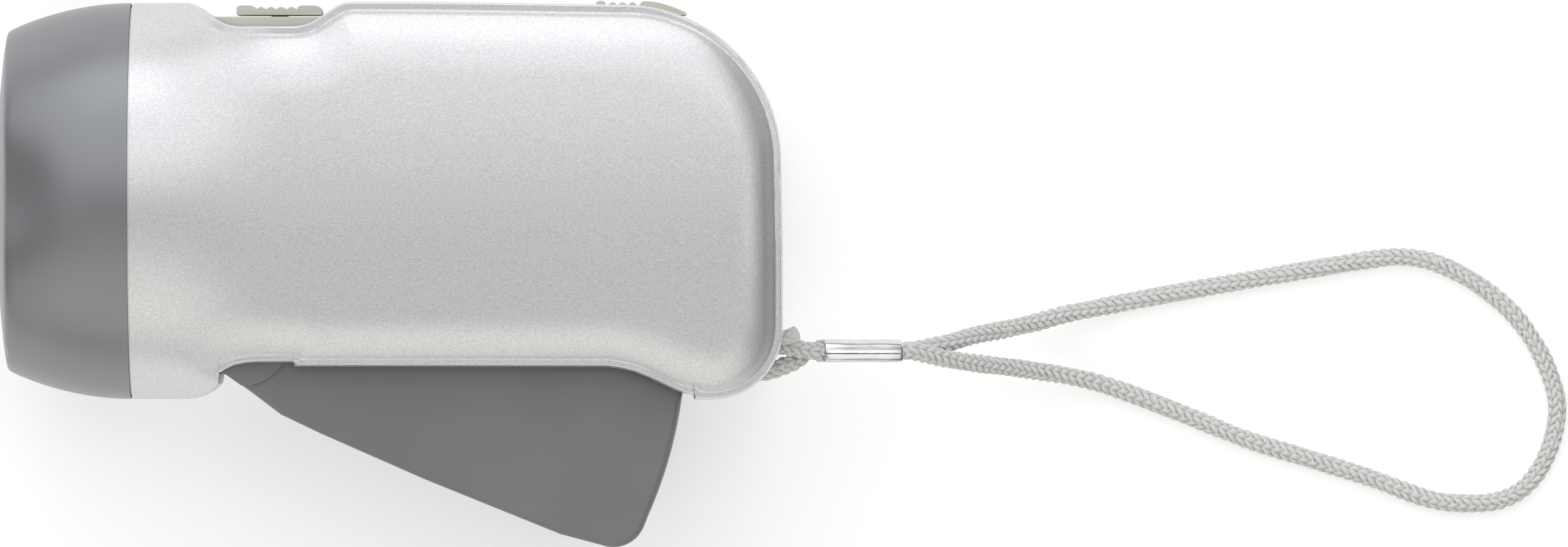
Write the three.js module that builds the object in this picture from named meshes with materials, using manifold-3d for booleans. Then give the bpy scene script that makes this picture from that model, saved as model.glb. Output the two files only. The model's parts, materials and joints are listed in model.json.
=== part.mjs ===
// A pocket torch that is pumped by hand: squeezing the lever under the body spins a small dynamo.
// It lies on its right side. Millimetres: X runs from the lamp to the tail, Y from the lever's side to
// the switch's side, and Z is up, across the torch. Every piece is drawn from the lamp's front (x = 0),
// the lamp's axis (y = 0) and the plane where the two shells meet (z = 0), and the whole is then moved
// so that its origin is at the middle of the foot of its box, on the surface that it lies on.

import * as THREE from 'three';
import { mergeVertices } from 'three/addons/utils/BufferGeometryUtils.js';
import Module from 'manifold-3d';

const wasm = await Module();
wasm.setup();

// Sizes that more than one piece follows

const degree = Math.PI / 180;
const gap = 0.3;            // between pieces that touch
const running = 0.2;        // round a shaft in its bore
const overrun = 2;          // how far a cut runs past what it cuts
const weld = 0.0005;        // corners closer than this are one corner

const body = {
  length: 102.8, height: 52, depth: 45, wall: 1.8, seam: 17.4,
  topCorner: 20.6, tailCorner: 9.3, topSag: 0.4, sagStart: 47, tailLean: 0.2,
  flatHalf: 8, crownRadius: 46, edgeRadius: 4.2, edgeDrop: 5,
  topEdgeRadius: 9, topEdgeDrop: 9, topBlend: 15, tailBlendRoom: 20.8, tailBlend: 16, ovalRun: 21,
};
const halfHeight = body.height / 2;
const halfDepth = body.depth / 2;

const belly = {             // the open stretch of the underside, where the lever comes out
  chinEnd: 28.9, chinRadius: 3, chinTip: 2, front: 29.2, frontRise: 3.8, reliefRise: 4.8, reliefStart: 33.9,
  reliefEnd: 38.9, rise: 4.3, step: 0.2, heelRun: 11, heelRoom: 11.8, lip: 0.6,
};
const heelEnd = body.length - belly.heelRoom;
const heelStart = heelEnd - belly.heelRun;

const lever = {             // heights and runs are from the pivot, with the lever squeezed shut
  pivotX: 32.2, pivotRise: 8, hubRadius: 6.2, hubProud: 0.5, tailRoom: 12.8, floorDrop: 8.2,
  frontRadius: 5.25, bevelRun: 8.3, bevelDrop: 7.4, endRun: 9.8, endDrop: 7.5, corner: 4.3, halfWidth: 14.6,
  skin: 1.8,
  open: 22, wallTurn: 19.4, hubTurn: 70, frontTurn: 268, cornerTurn: -4, boreRadius: 1.8, barrelRadius: 4.6,
  barrelEnd: -3.6, farBarrelStart: 9.4, windowHalf: 3.6, windowHeight: 8, windowRise: 9.1,
};
const pivot = [lever.pivotX, lever.pivotRise - halfHeight];
const reach = body.length - lever.tailRoom - lever.pivotX;
const slotHalf = lever.halfWidth + lever.hubProud + running;
const pin = { radius: lever.boreRadius - gap, half: 17.1, boss: 4 };

const scoop = { start: 24.9, length: 19.8, depth: 3.1, pad: 1.9, padHalf: 17, shoulder: 1.2, foot: 2.7 };

// The dynamo was sized for this room, from the pivot to the lever's end and up to the thumb scoop. In less
// room its gears, rotor, stator and frame are drawn smaller by the same share, seen from the side.
const room = { length: 57.8, height: 39 };
const fit = Math.min(reach / room.length, (halfHeight - scoop.depth - scoop.pad - pivot[1]) / room.height);
const fitted = (sizes) => Object.fromEntries(Object.entries(sizes).map(([name, size]) => [name, size * fit]));

const toothSizes = { sectorModule: 0.8, wheelModule: 0.6, rotorModule: 0.5 };
const tooth = fitted(toothSizes);
const gears = {
  sectorTeeth: 60, firstPinion: 10, firstWheel: 40, secondPinion: 10, secondWheel: 36, rotorPinion: 9,
  sectorTurn: 50, wheelTurn: -10, rotorTurn: 25, teethBefore: 5, teethAfter: 1,
  sectorLow: -7, sectorHigh: -4.5, firstLow: -7.3, wheelLow: -3.6, wheelHigh: -1.8,
  secondLow: -3.9, topLow: -0.9, topHigh: 0.7, rotorLow: -1.3, rotorHigh: 1.1,
};
const polar = (x, y, radius, angle) => [
  x + radius * Math.cos(angle * degree), y + radius * Math.sin(angle * degree),
];
const spread = (a, b, module) => (a + b) * module / 2;
const firstAway = spread(gears.sectorTeeth, gears.firstPinion, tooth.sectorModule);
const secondAway = spread(gears.firstWheel, gears.secondPinion, tooth.wheelModule);
const rotorAway = spread(gears.secondWheel, gears.rotorPinion, tooth.rotorModule);
const firstAt = polar(...pivot, firstAway, gears.sectorTurn);
const secondAt = polar(...firstAt, secondAway, gears.wheelTurn);
const rotorAt = polar(...secondAt, rotorAway, gears.rotorTurn);

const rotorLayers = { flyLow: -8.4, flyHigh: -4.4, magnetLow: 3, magnetHigh: 9.7 };
const rotorSizes = { shaft: 0.9, flywheel: 9.8, magnet: 5.8, axle: 0.8 };
const rotor = fitted(rotorSizes);
const statorLayers = { low: 2.4, high: 10.3 };
const statorSizes = { radius: 10, bore: 6.3, wall: 1, spool: 0.6, coilClear: 0.3, coilWall: 0.9 };
const stator = fitted(statorSizes);

const frameLayers = {
  low: -10.6, lowTop: -9.2, high: 10.6, highTop: 12, headDepth: 1, screwLength: 6, springPostLow: 0,
};
const frameSizes = {
  post: 2.2, edge: 3, screw: 0.7, screwHead: 1.7, springPost: 1.2, springPostRun: 8.1, springPostRise: 6,
  clear: 0.8, topPostBack: 13.2, topPostRise: 11.4, lowPostBack: 15.2, lowPostDrop: 18.1, farPostBack: 28.8,
  farPostRise: 12.5,
  clamp: 3,                 // the shells' bosses that clamp the frame at three of its posts
};
const frame = fitted(frameSizes);
const backTurn = -50;
const sidePostTurn = 29;
const springPostAt = [pivot[0] + frame.springPostRun, pivot[1] + frame.springPostRise];
const postReach = Math.max(stator.radius, rotor.flywheel) + frame.post + frame.clear;
const posts = [
  [rotorAt[0] - frame.topPostBack, rotorAt[1] + frame.topPostRise],
  [rotorAt[0] - frame.lowPostBack, rotorAt[1] - frame.lowPostDrop],
  polar(...rotorAt, postReach, sidePostTurn),
  [rotorAt[0] - frame.farPostBack, rotorAt[1] + frame.farPostRise],
];
const clampedPosts = [posts[0], posts[2], posts[3]];

const screws = { radius: 1.1, head: 2.2, headDepth: 1.6, column: 2.7, grip: 6, sunk: 3.2,
  headRun: 4.4, headDrop: 10.5, tailRun: 5.3, tailRise: 2, topRun: 6.8 };
const screwPlaces = [
  [body.seam + screws.headRun, -screws.headDrop],
  [body.length - screws.tailRun, screws.tailRise],
  [firstAt[0] + screws.topRun * fit, halfHeight - body.wall - screws.column - gap],
];

const switchPlate = { start: 28, length: 14.7, drop: 1.85, thick: 1.55, half: 7 };
const knob = { start: 31.1, length: 11.2, height: 1.55, half: 5.6, travel: 3, ridgeCount: 4, ridgeStart: 34.3,
  pitch: 1.28, valley: 0.35, ridgeDrop: 0.2, blockLength: 2, stem: 1.1, stemReach: 2 };
const knobMiddle = knob.start + knob.length / 2;
const switchBox = { clear: 0.67, depth: 6.9, half: 4 };
const boxHalf = posts[3][0] - frame.edge - switchBox.clear - knobMiddle;

const slider = {
  tailRoom: 24.5, flatLength: 5.7, length: 11.8, half: 5, travel: 3, drop: 1.64, surface: 0.35, rib: 0.45,
  ribCount: 3, ribPitch: 1.31, firstRib: 1.2, firstRise: 0.62, ribRise: 0.4, tongueRise: 0.6, curlShare: 2.2,
  ribShare: 0.9, stemStart: 0.3, stemLength: 2.8, stemHalf: 1.2, bedThick: 1.5, bedHalf: 8,
};
const sliderStart = body.length - slider.tailRoom;
const sliderEnd = sliderStart + slider.length;
const lockBar = { drop: 7.2, thick: 1.6, half: 3, hookGap: 0.75, postGap: 1.8, backGap: 3.6, hookThick: 1.9 };
const lockTop = halfHeight - lockBar.drop;

const lanyard = {
  bar: 0.6, barRoom: 2.9, barRise: 5.4, barHalf: 5, notchRun: 5.5, notchLow: 1.4, notchHigh: 8.7,
  notchHalf: 1.75, block: 5.4, blockRoom: 3.9, blockHalf: 7,
};
const lanyardAt = [body.length - lanyard.barRoom, lanyard.barRise - halfHeight];

const circuit = { start: 21, end: 45, low: -6, under: 1.1, face: -11, thick: 1.4, post: 1.6, restIn: 2 };
const circuitTop = posts[3][1] - frame.clamp - circuit.under;
const cell = { x: 26.5, y: 4, radius: 6, low: -9.9, high: 7.6, tab: 0.4, tabRadius: 3, tabHalf: 1 };

// Shapes: each helper gives a solid that can be joined to others and cut by them

function solid(geometry) {
  const bare = geometry.clone();
  for (const name of Object.keys(bare.attributes)) {
    if (name !== 'position') bare.deleteAttribute(name);
  }
  const merged = mergeVertices(bare, weld);
  const corners = merged.index.array;
  const kept = [];
  for (let i = 0; i < corners.length; i += 3) {
    const [a, b, c] = [corners[i], corners[i + 1], corners[i + 2]];
    if (a !== b && b !== c && c !== a) kept.push(a, b, c);
  }
  const place = merged.attributes.position.array;
  let volume = 0;
  for (let i = 0; i < kept.length; i += 3) {
    const [a, b, c] = [0, 1, 2].map((k) => new THREE.Vector3().fromArray(place, 3 * kept[i + k]));
    volume += a.dot(b.cross(c));
  }
  if (volume < 0) kept.reverse();
  const mesh = new wasm.Mesh({ numProp: 3, vertProperties: place, triVerts: new Uint32Array(kept) });
  return new wasm.Manifold(mesh);
}

function geometryOf(shape) {
  const mesh = shape.getMesh();
  const places = new Float32Array(mesh.numVert * 3);
  for (let i = 0; i < mesh.numVert; i += 1) {
    for (let k = 0; k < 3; k += 1) places[3 * i + k] = mesh.vertProperties[i * mesh.numProp + k];
  }
  const geometry = new THREE.BufferGeometry();
  geometry.setAttribute('position', new THREE.BufferAttribute(places, 3));
  geometry.setIndex(new THREE.BufferAttribute(new Uint32Array(mesh.triVerts), 1));
  geometry.computeVertexNormals();
  return geometry;
}

const join = (shapes) => shapes.reduce((whole, next) => whole.add(next));
const cut = (shape, cutters) => cutters.reduce((left, next) => left.subtract(next), shape);

// An outline in X and Y, drawn out from one height to another
function prism(points, low, high) {
  const shape = new THREE.Shape(points.map(([x, y]) => new THREE.Vector2(x, y)));
  const geometry = new THREE.ExtrudeGeometry(shape, { depth: high - low, bevelEnabled: false });
  return solid(geometry.translate(0, 0, low));
}

const round = (x, y, radius, sides = 20, from = 0, to = 360) => {
  const whole = to - from === 360;
  const points = [];
  for (let i = 0; i < (whole ? sides : sides + 1); i += 1) {
    points.push(polar(x, y, radius, from + (to - from) * i / sides));
  }
  return points;
};
const disc = (x, y, radius, low, high, sides) => prism(round(x, y, radius, sides), low, high);
const block = (lowX, highX, lowY, highY, lowZ, highZ) =>
  prism([[lowX, lowY], [highX, lowY], [highX, highY], [lowX, highY]], lowZ, highZ);

// A profile of [x, radius] points turned about the lamp's axis
function turned(profile, sides = 36) {
  const points = profile.map(([x, radius]) => new THREE.Vector2(radius, x));
  const first = points[0];
  const last = points[points.length - 1];
  if (first.x !== 0 || last.x !== 0) points.push(first.clone());
  return solid(new THREE.LatheGeometry(points, sides).rotateZ(-Math.PI / 2));
}

// Rings of equal length, skinned one to the next and closed at both ends
function loft(rings) {
  const count = rings[0].length;
  const places = rings.flat().flat();
  const faces = [];
  for (let i = 0; i + 1 < rings.length; i += 1) {
    for (let j = 0; j < count; j += 1) {
      const [a, b] = [i * count + j, i * count + (j + 1) % count];
      faces.push(a, b, b + count, a, b + count, a + count);
    }
  }
  for (const [ring, flip] of [[0, true], [rings.length - 1, false]]) {
    const middle = [0, 1, 2].map((k) => rings[ring].reduce((sum, p) => sum + p[k], 0) / count);
    const centre = places.length / 3;
    places.push(...middle);
    for (let j = 0; j < count; j += 1) {
      const [a, b] = [ring * count + j, ring * count + (j + 1) % count];
      faces.push(...(flip ? [centre, b, a] : [centre, a, b]));
    }
  }
  const geometry = new THREE.BufferGeometry();
  geometry.setAttribute('position', new THREE.Float32BufferAttribute(places, 3));
  geometry.setIndex(faces);
  return solid(geometry);
}

// A round wire along a path of points
function wire(points, radius, steps, sides = 8) {
  const path = new THREE.CatmullRomCurve3(points.map((p) => new THREE.Vector3(...p)), false, 'centripetal');
  const section = new THREE.Shape(round(0, 0, radius, sides).map(([x, y]) => new THREE.Vector2(x, y)));
  return solid(new THREE.ExtrudeGeometry(section, { steps, bevelEnabled: false, extrudePath: path }));
}

const part = new THREE.Group();

function add(name, shape, color, roughness, metalness) {
  const material = new THREE.MeshStandardMaterial({ color, roughness, metalness });
  const mesh = new THREE.Mesh(geometryOf(shape), material);
  mesh.name = name;
  part.add(mesh);
  return mesh;
}

// The shells' outer form

const smooth = (value) => {
  const t = Math.min(Math.max(value, 0), 1);
  return t * t * (3 - 2 * t);
};
const mix = (a, b, t) => a + (b - a) * t;

// The underside's height along the torch, as [x, y] corners from the head to the tail's corner
function underside() {
  const chin = round(belly.chinEnd - belly.chinRadius, 0, 1, 4, -90, 0).map(([x, y]) => [
    mix(belly.chinEnd - belly.chinRadius, belly.chinEnd, x - belly.chinEnd + belly.chinRadius),
    -halfHeight + belly.chinTip * (1 + y),
  ]);
  const heel = [0, 0.3, 0.48, 0.66, 0.9, 1].map((share) => [
    heelStart + belly.heelRun * share,
    -halfHeight + mix(belly.rise, belly.lip, Math.sin(share * Math.PI / 2) ** 2),
  ]);
  return [
    [body.seam, -halfHeight], ...chin,
    [belly.front, -halfHeight + belly.frontRise],
    [belly.reliefStart, -halfHeight + belly.reliefRise],
    [belly.reliefEnd, -halfHeight + belly.reliefRise],
    [belly.reliefEnd + belly.step, -halfHeight + belly.rise], ...heel,
    [heelEnd + belly.step, -halfHeight],
    ...round(body.length - body.tailCorner, -halfHeight + body.tailCorner, body.tailCorner, 5, -90, 0),
  ];
}

function topside() {
  const cornerX = body.length - body.tailLean - body.topCorner;
  const cornerY = halfHeight - body.topSag - body.topCorner;
  const straight = [0, 0.12, 0.25, 0.4, 0.6, 0.8].map((share) => {
    const x = mix(body.seam, cornerX, share);
    return [x, halfHeight - body.topSag * smooth((x - body.sagStart) / (cornerX - body.sagStart))];
  });
  return [...straight, ...round(cornerX, cornerY, body.topCorner, 8, 90, 0)];
}

const below = underside();
const above = topside();

function heightOn(line, x) {
  const next = line.findIndex((p) => p[0] >= x);
  if (next === 0) return line[0][1];
  if (next < 0) return line[line.length - 1][1];
  const [a, b] = [line[next - 1], line[next]];
  return b[0] === a[0] ? b[1] : mix(a[1], b[1], (x - a[0]) / (b[0] - a[0]));
}

// How far a point lies inside the torch's side outline
function depthInside(x, y) {
  const outline = [...below, ...[...above].reverse()];
  let least = Infinity;
  for (let i = 0; i + 1 < outline.length; i += 1) {
    const [a, b] = [outline[i], outline[i + 1]];
    const [dx, dy] = [b[0] - a[0], b[1] - a[1]];
    const t = Math.min(Math.max(((x - a[0]) * dx + (y - a[1]) * dy) / (dx * dx + dy * dy), 0), 1);
    least = Math.min(least, Math.hypot(x - a[0] - t * dx, y - a[1] - t * dy));
  }
  return least;
}

// How far the side stands from the middle plane: oval at the head, a crowned flat with rounded edges behind
function sideHeight(x, y) {
  const over = Math.max(0, Math.abs(y) - body.flatHalf);
  const crown = halfDepth - over * over / (2 * body.crownRadius);
  const tail = smooth((x - body.length + body.tailBlendRoom) / body.tailBlend);
  const high = smooth(y / body.topBlend) * (1 - tail);
  const radius = mix(body.edgeRadius, body.topEdgeRadius, high);
  const drop = mix(body.edgeDrop, body.topEdgeDrop, high);
  const turn = 1 - Math.min(depthInside(x, y) / radius, 1);
  const handle = crown - drop * (1 - Math.sqrt(1 - turn * turn));
  const oval = halfDepth * Math.sqrt(Math.max(0, 1 - (y / halfHeight) ** 2));
  return mix(oval, handle, smooth((x - body.seam) / body.ovalRun));
}

// The body's form, drawn in by a wall's thickness or by none
function torchForm(inset, cuts, start) {
  const end = body.length - inset;
  const corners = [...below, ...above].map((p) => p[0]).filter((x) => x > start + weld && x < end - weld);
  const last = end - body.tailLean;
  const stations = [start, ...corners, last, end].filter((x) => x <= end).sort((a, b) => a - b)
    .filter((x, i, all) => i === 0 || x - all[i - 1] > 2 * body.tailLean / 3);
  const rings = stations.map((x) => {
    const [low, high] = [heightOn(below, x) + inset, heightOn(above, x) - inset];
    const side = [];
    for (let j = 0; j <= cuts; j += 1) {
      const y = mix(low, high, (1 - Math.cos(Math.PI * j / cuts)) / 2);
      side.push([x, y, Math.max(sideHeight(x, y) - inset, weld * 20 * (1 + j))]);
    }
    return [...side, ...[...side].reverse().map(([px, py, pz]) => [px, py, -pz])];
  });
  return loft(rings);
}

const outerForm = torchForm(0, 12, body.seam);
const innerForm = torchForm(body.wall, 5, body.seam + body.wall / 2);

// The neck that the head's ring is pushed over, as wide and as deep as the oval seam

const neck = { start: 12.6, inset: 2.1, wall: 1.6 };
const depthShare = body.depth / body.height;
const oval = (profile, sides, share = depthShare) => turned(profile, sides).scale([1, 1, share]);
const neckRadius = halfHeight - neck.inset;
const neckRing = oval([
  [neck.start, neckRadius], [body.seam + gap, neckRadius], [body.seam + gap, halfHeight - gap],
  [body.seam + body.wall, halfHeight - gap], [body.seam + body.wall, neckRadius - neck.wall],
  [neck.start, neckRadius - neck.wall],
], 36);

// The lamp

const lamp = { apertureRadius: 12.3, lensRadius: 14.2, seat: 1.3, lensThick: 1.5, lensFace: 0.5,
  mirrorThick: 0.8, mirrorBack: 11, mirrorBackRadius: 7.8, mirrorRim: 1, boardThick: 1.4, boardRadius: 11.4,
  ledRadius: 2.5, ledRing: 4.3, ledLength: 5.6, flangeRadius: 2.9, flangeThick: 0.9 };
const lensBack = lamp.seat + lamp.lensThick;
const mirrorFront = lensBack + gap;
const boardFront = lamp.mirrorBack + gap;
const boardBack = boardFront + lamp.boardThick;

const ribs = { half: 0.8, at: 7, from: 6 };

const head = {
  lip: 0.9, faceDrop: 6, faceBack: 0.38, edgeDrop: 4.4, edgeBack: 0.7, shoulderBack: 1.1, arcRadius: 45,
  proud: 0.2, scoopX: 10.8, scoopY: 15.3, scoopZ: 10, scoopDepth: 5.5, scoopBack: 1, hollowStart: 6,
  hollowWall: 5.1, hollowDepth: 3.5,
};

function bezel() {
  const outside = [];
  const steps = 5;
  for (let i = 0; i <= steps; i += 1) {
    const x = mix(head.shoulderBack, body.seam - gap / 2, i / steps);
    const back = body.seam - x;
    const arc = halfHeight - head.arcRadius + Math.sqrt(head.arcRadius ** 2 - back ** 2);
    outside.push([x, i === steps ? arc + head.proud : arc]);
  }
  const end = body.seam - gap / 2;
  const shell = oval([
    [0, 0], [0, lamp.apertureRadius + head.lip], [head.faceBack, halfHeight - head.faceDrop],
    [head.edgeBack, halfHeight - head.edgeDrop], ...outside, [end, 0],
  ], 44, halfDepth / (halfHeight + head.proud));
  const bore = neckRadius + gap;
  const socket = oval([[neck.start - gap, 0], [neck.start - gap, bore], [end + overrun, bore],
    [end + overrun, 0]], 36);
  const hollowIn = neckRadius - head.hollowWall;
  const hollow = oval([[head.hollowStart, hollowIn], [head.hollowStart, neckRadius - head.hollowDepth],
    [neck.start, bore], [neck.start, hollowIn]], 32);
  const seat = turned([[lamp.seat, 0], [lamp.seat, lamp.lensRadius + gap],
    [body.seam, lamp.lensRadius + gap], [body.seam, 0]], 28);
  const mouth = turned([[-overrun, 0], [-overrun, lamp.apertureRadius],
    [body.seam, lamp.apertureRadius], [body.seam, 0]], 28);
  const dents = [-1, 1].map((side) => solid(new THREE.SphereGeometry(1, 18, 12)
    .scale(head.scoopX, head.scoopY, head.scoopZ)
    .translate(-head.scoopBack, 0, side * (halfDepth - head.scoopDepth + head.scoopZ))));
  return cut(shell, [socket, hollow, seat, mouth, ...dents]);
}
add('head_bezel', bezel(), 0x7d8084, 0.45, 0.1);

const lensPlug = lamp.apertureRadius - running;
add('lens', turned([[lamp.lensFace, 0], [lamp.lensFace, lensPlug], [lamp.seat + gap, lensPlug],
  [lamp.seat + gap, lamp.lensRadius], [lensBack, lamp.lensRadius], [lensBack, 0]], 28), 0xdfe6ea, 0.08, 0);

const rim = lamp.lensRadius - lamp.mirrorRim;
add('reflector', turned([
  [mirrorFront, rim], [mix(mirrorFront, lamp.mirrorBack, 0.4), mix(rim, lamp.mirrorBackRadius, 0.25)],
  [lamp.mirrorBack, lamp.mirrorBackRadius], [lamp.mirrorBack, lamp.mirrorBackRadius + lamp.mirrorThick],
  [mix(mirrorFront, lamp.mirrorBack, 0.4), mix(rim, lamp.mirrorBackRadius, 0.25) + lamp.mirrorThick],
  [mirrorFront + lamp.mirrorThick, rim + lamp.mirrorThick], [mirrorFront + lamp.mirrorThick, lamp.lensRadius],
  [mirrorFront, lamp.lensRadius],
], 28), 0xe8eaec, 0.12, 0.9);

add('led_board', turned([[boardFront, 0], [boardFront, lamp.boardRadius], [boardBack, lamp.boardRadius],
  [boardBack, 0]], 24), 0x2f6b3c, 0.6, 0);

const ledBase = boardFront - gap;
for (const [i, angle] of [90, 210, 330].entries()) {
  const [y, z] = polar(0, 0, lamp.ledRing, angle);
  const tip = ledBase - lamp.ledLength;
  const dome = [0, 1, 2, 3].map((k) => [
    tip + lamp.ledRadius * (1 - Math.cos(k * 30 * degree)), lamp.ledRadius * Math.sin(k * 30 * degree)]);
  const bulb = turned([...dome, [ledBase - lamp.flangeThick, lamp.ledRadius],
    [ledBase - lamp.flangeThick, lamp.flangeRadius], [ledBase, lamp.flangeRadius], [ledBase, 0]], 12);
  add(`led_${i + 1}`, bulb.translate([0, y, z]), 0xf3f6f8, 0.1, 0);
}

// The shells

const middle = gap / 2;     // each shell stops this far from the plane where they meet
const far = body.depth;
const topAt = (x) => heightOn(above, x);
const sliderTop = topAt(sliderStart);
const sliderFoot = sliderTop - slider.drop + slider.surface;
const channelFloor = sliderFoot - gap;
const plateTop = halfHeight - switchPlate.drop;
const plateFoot = plateTop - switchPlate.thick;
const scoopFloor = halfHeight - scoop.depth;
const scoopEnd = scoop.start + scoop.length;
const stemHole = (low, high) => block(knobMiddle - knob.stem - knob.travel - gap,
  knobMiddle + knob.stem + gap, low, high, -knob.stem - gap, knob.stem + gap);
const stemStart = sliderStart + slider.stemStart;

const walls = cut(outerForm, [innerForm, oval([
  [neck.start - overrun, 0], [neck.start - overrun, neckRadius - neck.wall],
  [body.seam + overrun, neckRadius - neck.wall], [body.seam + overrun, 0],
], 36)]).add(neckRing);
const insideNeck = oval([[neck.start, 0], [neck.start, neckRadius - gap],
  [body.seam + body.wall, neckRadius - gap], [body.seam + body.wall, 0]], 44);

const scoopPad = block(scoop.start, scoopEnd, scoopFloor - scoop.pad, halfHeight - body.wall / 2,
  -scoop.padHalf, scoop.padHalf);
const sliderBed = block(sliderStart - slider.travel - 2 * gap, sliderEnd + slider.travel,
  channelFloor - slider.bedThick, sliderTop - body.wall / 2, -slider.bedHalf, slider.bedHalf);
const lanyardBlock = disc(body.length - lanyard.blockRoom, lanyardAt[1], lanyard.block, -lanyard.blockHalf,
  lanyard.blockHalf);
const lampRibs = [-1, 1].flatMap((up) => [-1, 1].map((side) => block(
  boardBack + gap, body.seam + body.wall, up * ribs.at - ribs.half, up * ribs.at + ribs.half,
  Math.min(side * ribs.from, side * far), Math.max(side * ribs.from, side * far),
).intersect(insideNeck)));

const thumbScoop = prism([
  [scoop.start - scoop.shoulder, halfHeight + overrun], [scoop.start, halfHeight],
  [scoop.start + scoop.foot, halfHeight - scoop.shoulder], [scoop.start + 2 * scoop.foot, scoopFloor],
  [scoopEnd - 2 * scoop.foot, scoopFloor], [scoopEnd - scoop.foot, halfHeight - scoop.shoulder],
  [scoopEnd, halfHeight], [scoopEnd + scoop.shoulder, halfHeight + overrun],
], -far, far);
const openings = [
  block(belly.front - lever.skin + running, heelEnd, -halfHeight - overrun, pivot[1], -slotHalf, slotHalf),
  disc(...pivot, lever.frontRadius + gap, -slotHalf, slotHalf),
  thumbScoop,
  block(switchPlate.start - gap, switchPlate.start + switchPlate.length + gap, plateFoot - gap,
    halfHeight + overrun, -switchPlate.half - gap, switchPlate.half + gap),
  block(knobMiddle - boxHalf - gap, knobMiddle + boxHalf + gap,
    scoopFloor - scoop.pad - overrun, plateFoot, -switchBox.half - gap, switchBox.half + gap),
  block(sliderStart - slider.travel - gap, sliderEnd + overrun, channelFloor, halfHeight + overrun,
    -slider.half - gap, slider.half + gap),
  block(stemStart - slider.travel - gap, stemStart + slider.stemLength + gap,
    channelFloor - slider.bedThick - overrun, channelFloor + overrun,
    -slider.stemHalf - gap, slider.stemHalf + gap),
  block(body.length - lanyard.notchRun, body.length + overrun, lanyard.notchLow - halfHeight,
    lanyard.notchHigh - halfHeight, -lanyard.notchHalf, lanyard.notchHalf),
  disc(...lanyardAt, lanyard.bar + gap, -lanyard.barHalf - gap, lanyard.barHalf + gap, 12),
  disc(...pivot, lever.boreRadius, -pin.half - gap, pin.half + gap, 12),
];

function shell(side) {
  const span = (near, end) => (side > 0 ? [near, end] : [-end, -near]);
  const held = side > 0 ? frameLayers.highTop + gap : gap - frameLayers.low;
  const bosses = [
    ...clampedPosts.map((at) => disc(...at, frame.clamp, ...span(held, far), 12)),
    disc(...pivot, pin.boss, ...span(slotHalf, far), 14),
    ...screwPlaces.map((at) => disc(...at, screws.column, ...span(middle, far), 12)),
    scoopPad, sliderBed, lanyardBlock,
  ];
  if (side < 0) {
    const rests = [[circuit.start + circuit.restIn, circuitTop - circuit.restIn],
      [circuit.end - circuit.restIn, circuit.low + circuit.restIn]];
    const rest = span(gap - circuit.face + circuit.thick, far);
    bosses.push(...rests.map((at) => disc(...at, circuit.post, ...rest, 12)));
  }
  const holes = screwPlaces.flatMap((at) => {
    const outside = sideHeight(...at);
    const bore = disc(...at, screws.radius + gap, ...(side > 0 ? [0, screws.grip + gap] : [-far, 0]), 10);
    const recess = disc(...at, screws.head + gap, -far, screws.sunk - outside + gap / 2, 18);
    return side > 0 ? [bore] : [bore, recess];
  });
  const whole = join([walls, join(bosses).intersect(outerForm), ...lampRibs]);
  const half = block(-overrun, body.length + overrun, -body.height, body.height, ...span(middle, far));
  return cut(whole.intersect(half), [...openings, ...holes]);
}
add('left_shell', shell(1), 0xbfc0bf, 0.42, 0.35);
add('right_shell', shell(-1), 0xbfc0bf, 0.42, 0.35);

for (const [i, at] of screwPlaces.entries()) {
  const seat = screws.sunk - sideHeight(...at);
  const screw = disc(...at, screws.radius, seat - screws.headDepth / 2, screws.grip, 8)
    .add(disc(...at, screws.head, seat - screws.headDepth, seat, 14));
  add(`shell_screw_${i + 1}`, screw, 0x8a8c8f, 0.35, 0.9);
}

// The light switch

add('light_switch_plate', block(switchPlate.start, switchPlate.start + switchPlate.length,
  plateFoot, plateTop, -switchPlate.half, switchPlate.half)
  .subtract(stemHole(plateFoot - overrun, plateTop + overrun)),
0xb8b8ae, 0.5, 0);

function switchKnob() {
  const foot = plateTop;
  const top = foot + knob.height;
  const end = knob.start + knob.length;
  const ridges = [];
  for (let i = 0; i < knob.ridgeCount; i += 1) {
    const x = knob.ridgeStart + i * knob.pitch;
    ridges.push([x - knob.pitch / 2, top - knob.valley], [x, top - knob.ridgeDrop]);
  }
  const last = knob.ridgeStart + (knob.ridgeCount - 0.5) * knob.pitch;
  const outline = [[knob.start, foot], [knob.start, top], [knob.start + knob.blockLength, top], ...ridges,
    [last, top - knob.valley], [last + knob.valley, top], [end - knob.ridgeDrop, top],
    [end, top - knob.valley], [end, foot]];
  const stem = block(knobMiddle - knob.stem, knobMiddle + knob.stem, plateFoot - knob.stemReach,
    foot + knob.valley, -knob.stem, knob.stem);
  return prism(outline.reverse(), -knob.half, knob.half).add(stem);
}
add('light_switch_knob', switchKnob().translate([0, running, 0]), 0xc3c4bf, 0.5, 0);

const switchTop = plateFoot - gap;
add('slide_switch', block(knobMiddle - boxHalf, knobMiddle + boxHalf, switchTop - switchBox.depth, switchTop,
  -switchBox.half, switchBox.half)
  .subtract(stemHole(plateFoot - knob.stemReach - gap, switchTop + overrun)), 0x9a9ca0, 0.4, 0.8);

// The slider that locks the lever shut, and the bar that it carries

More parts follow.
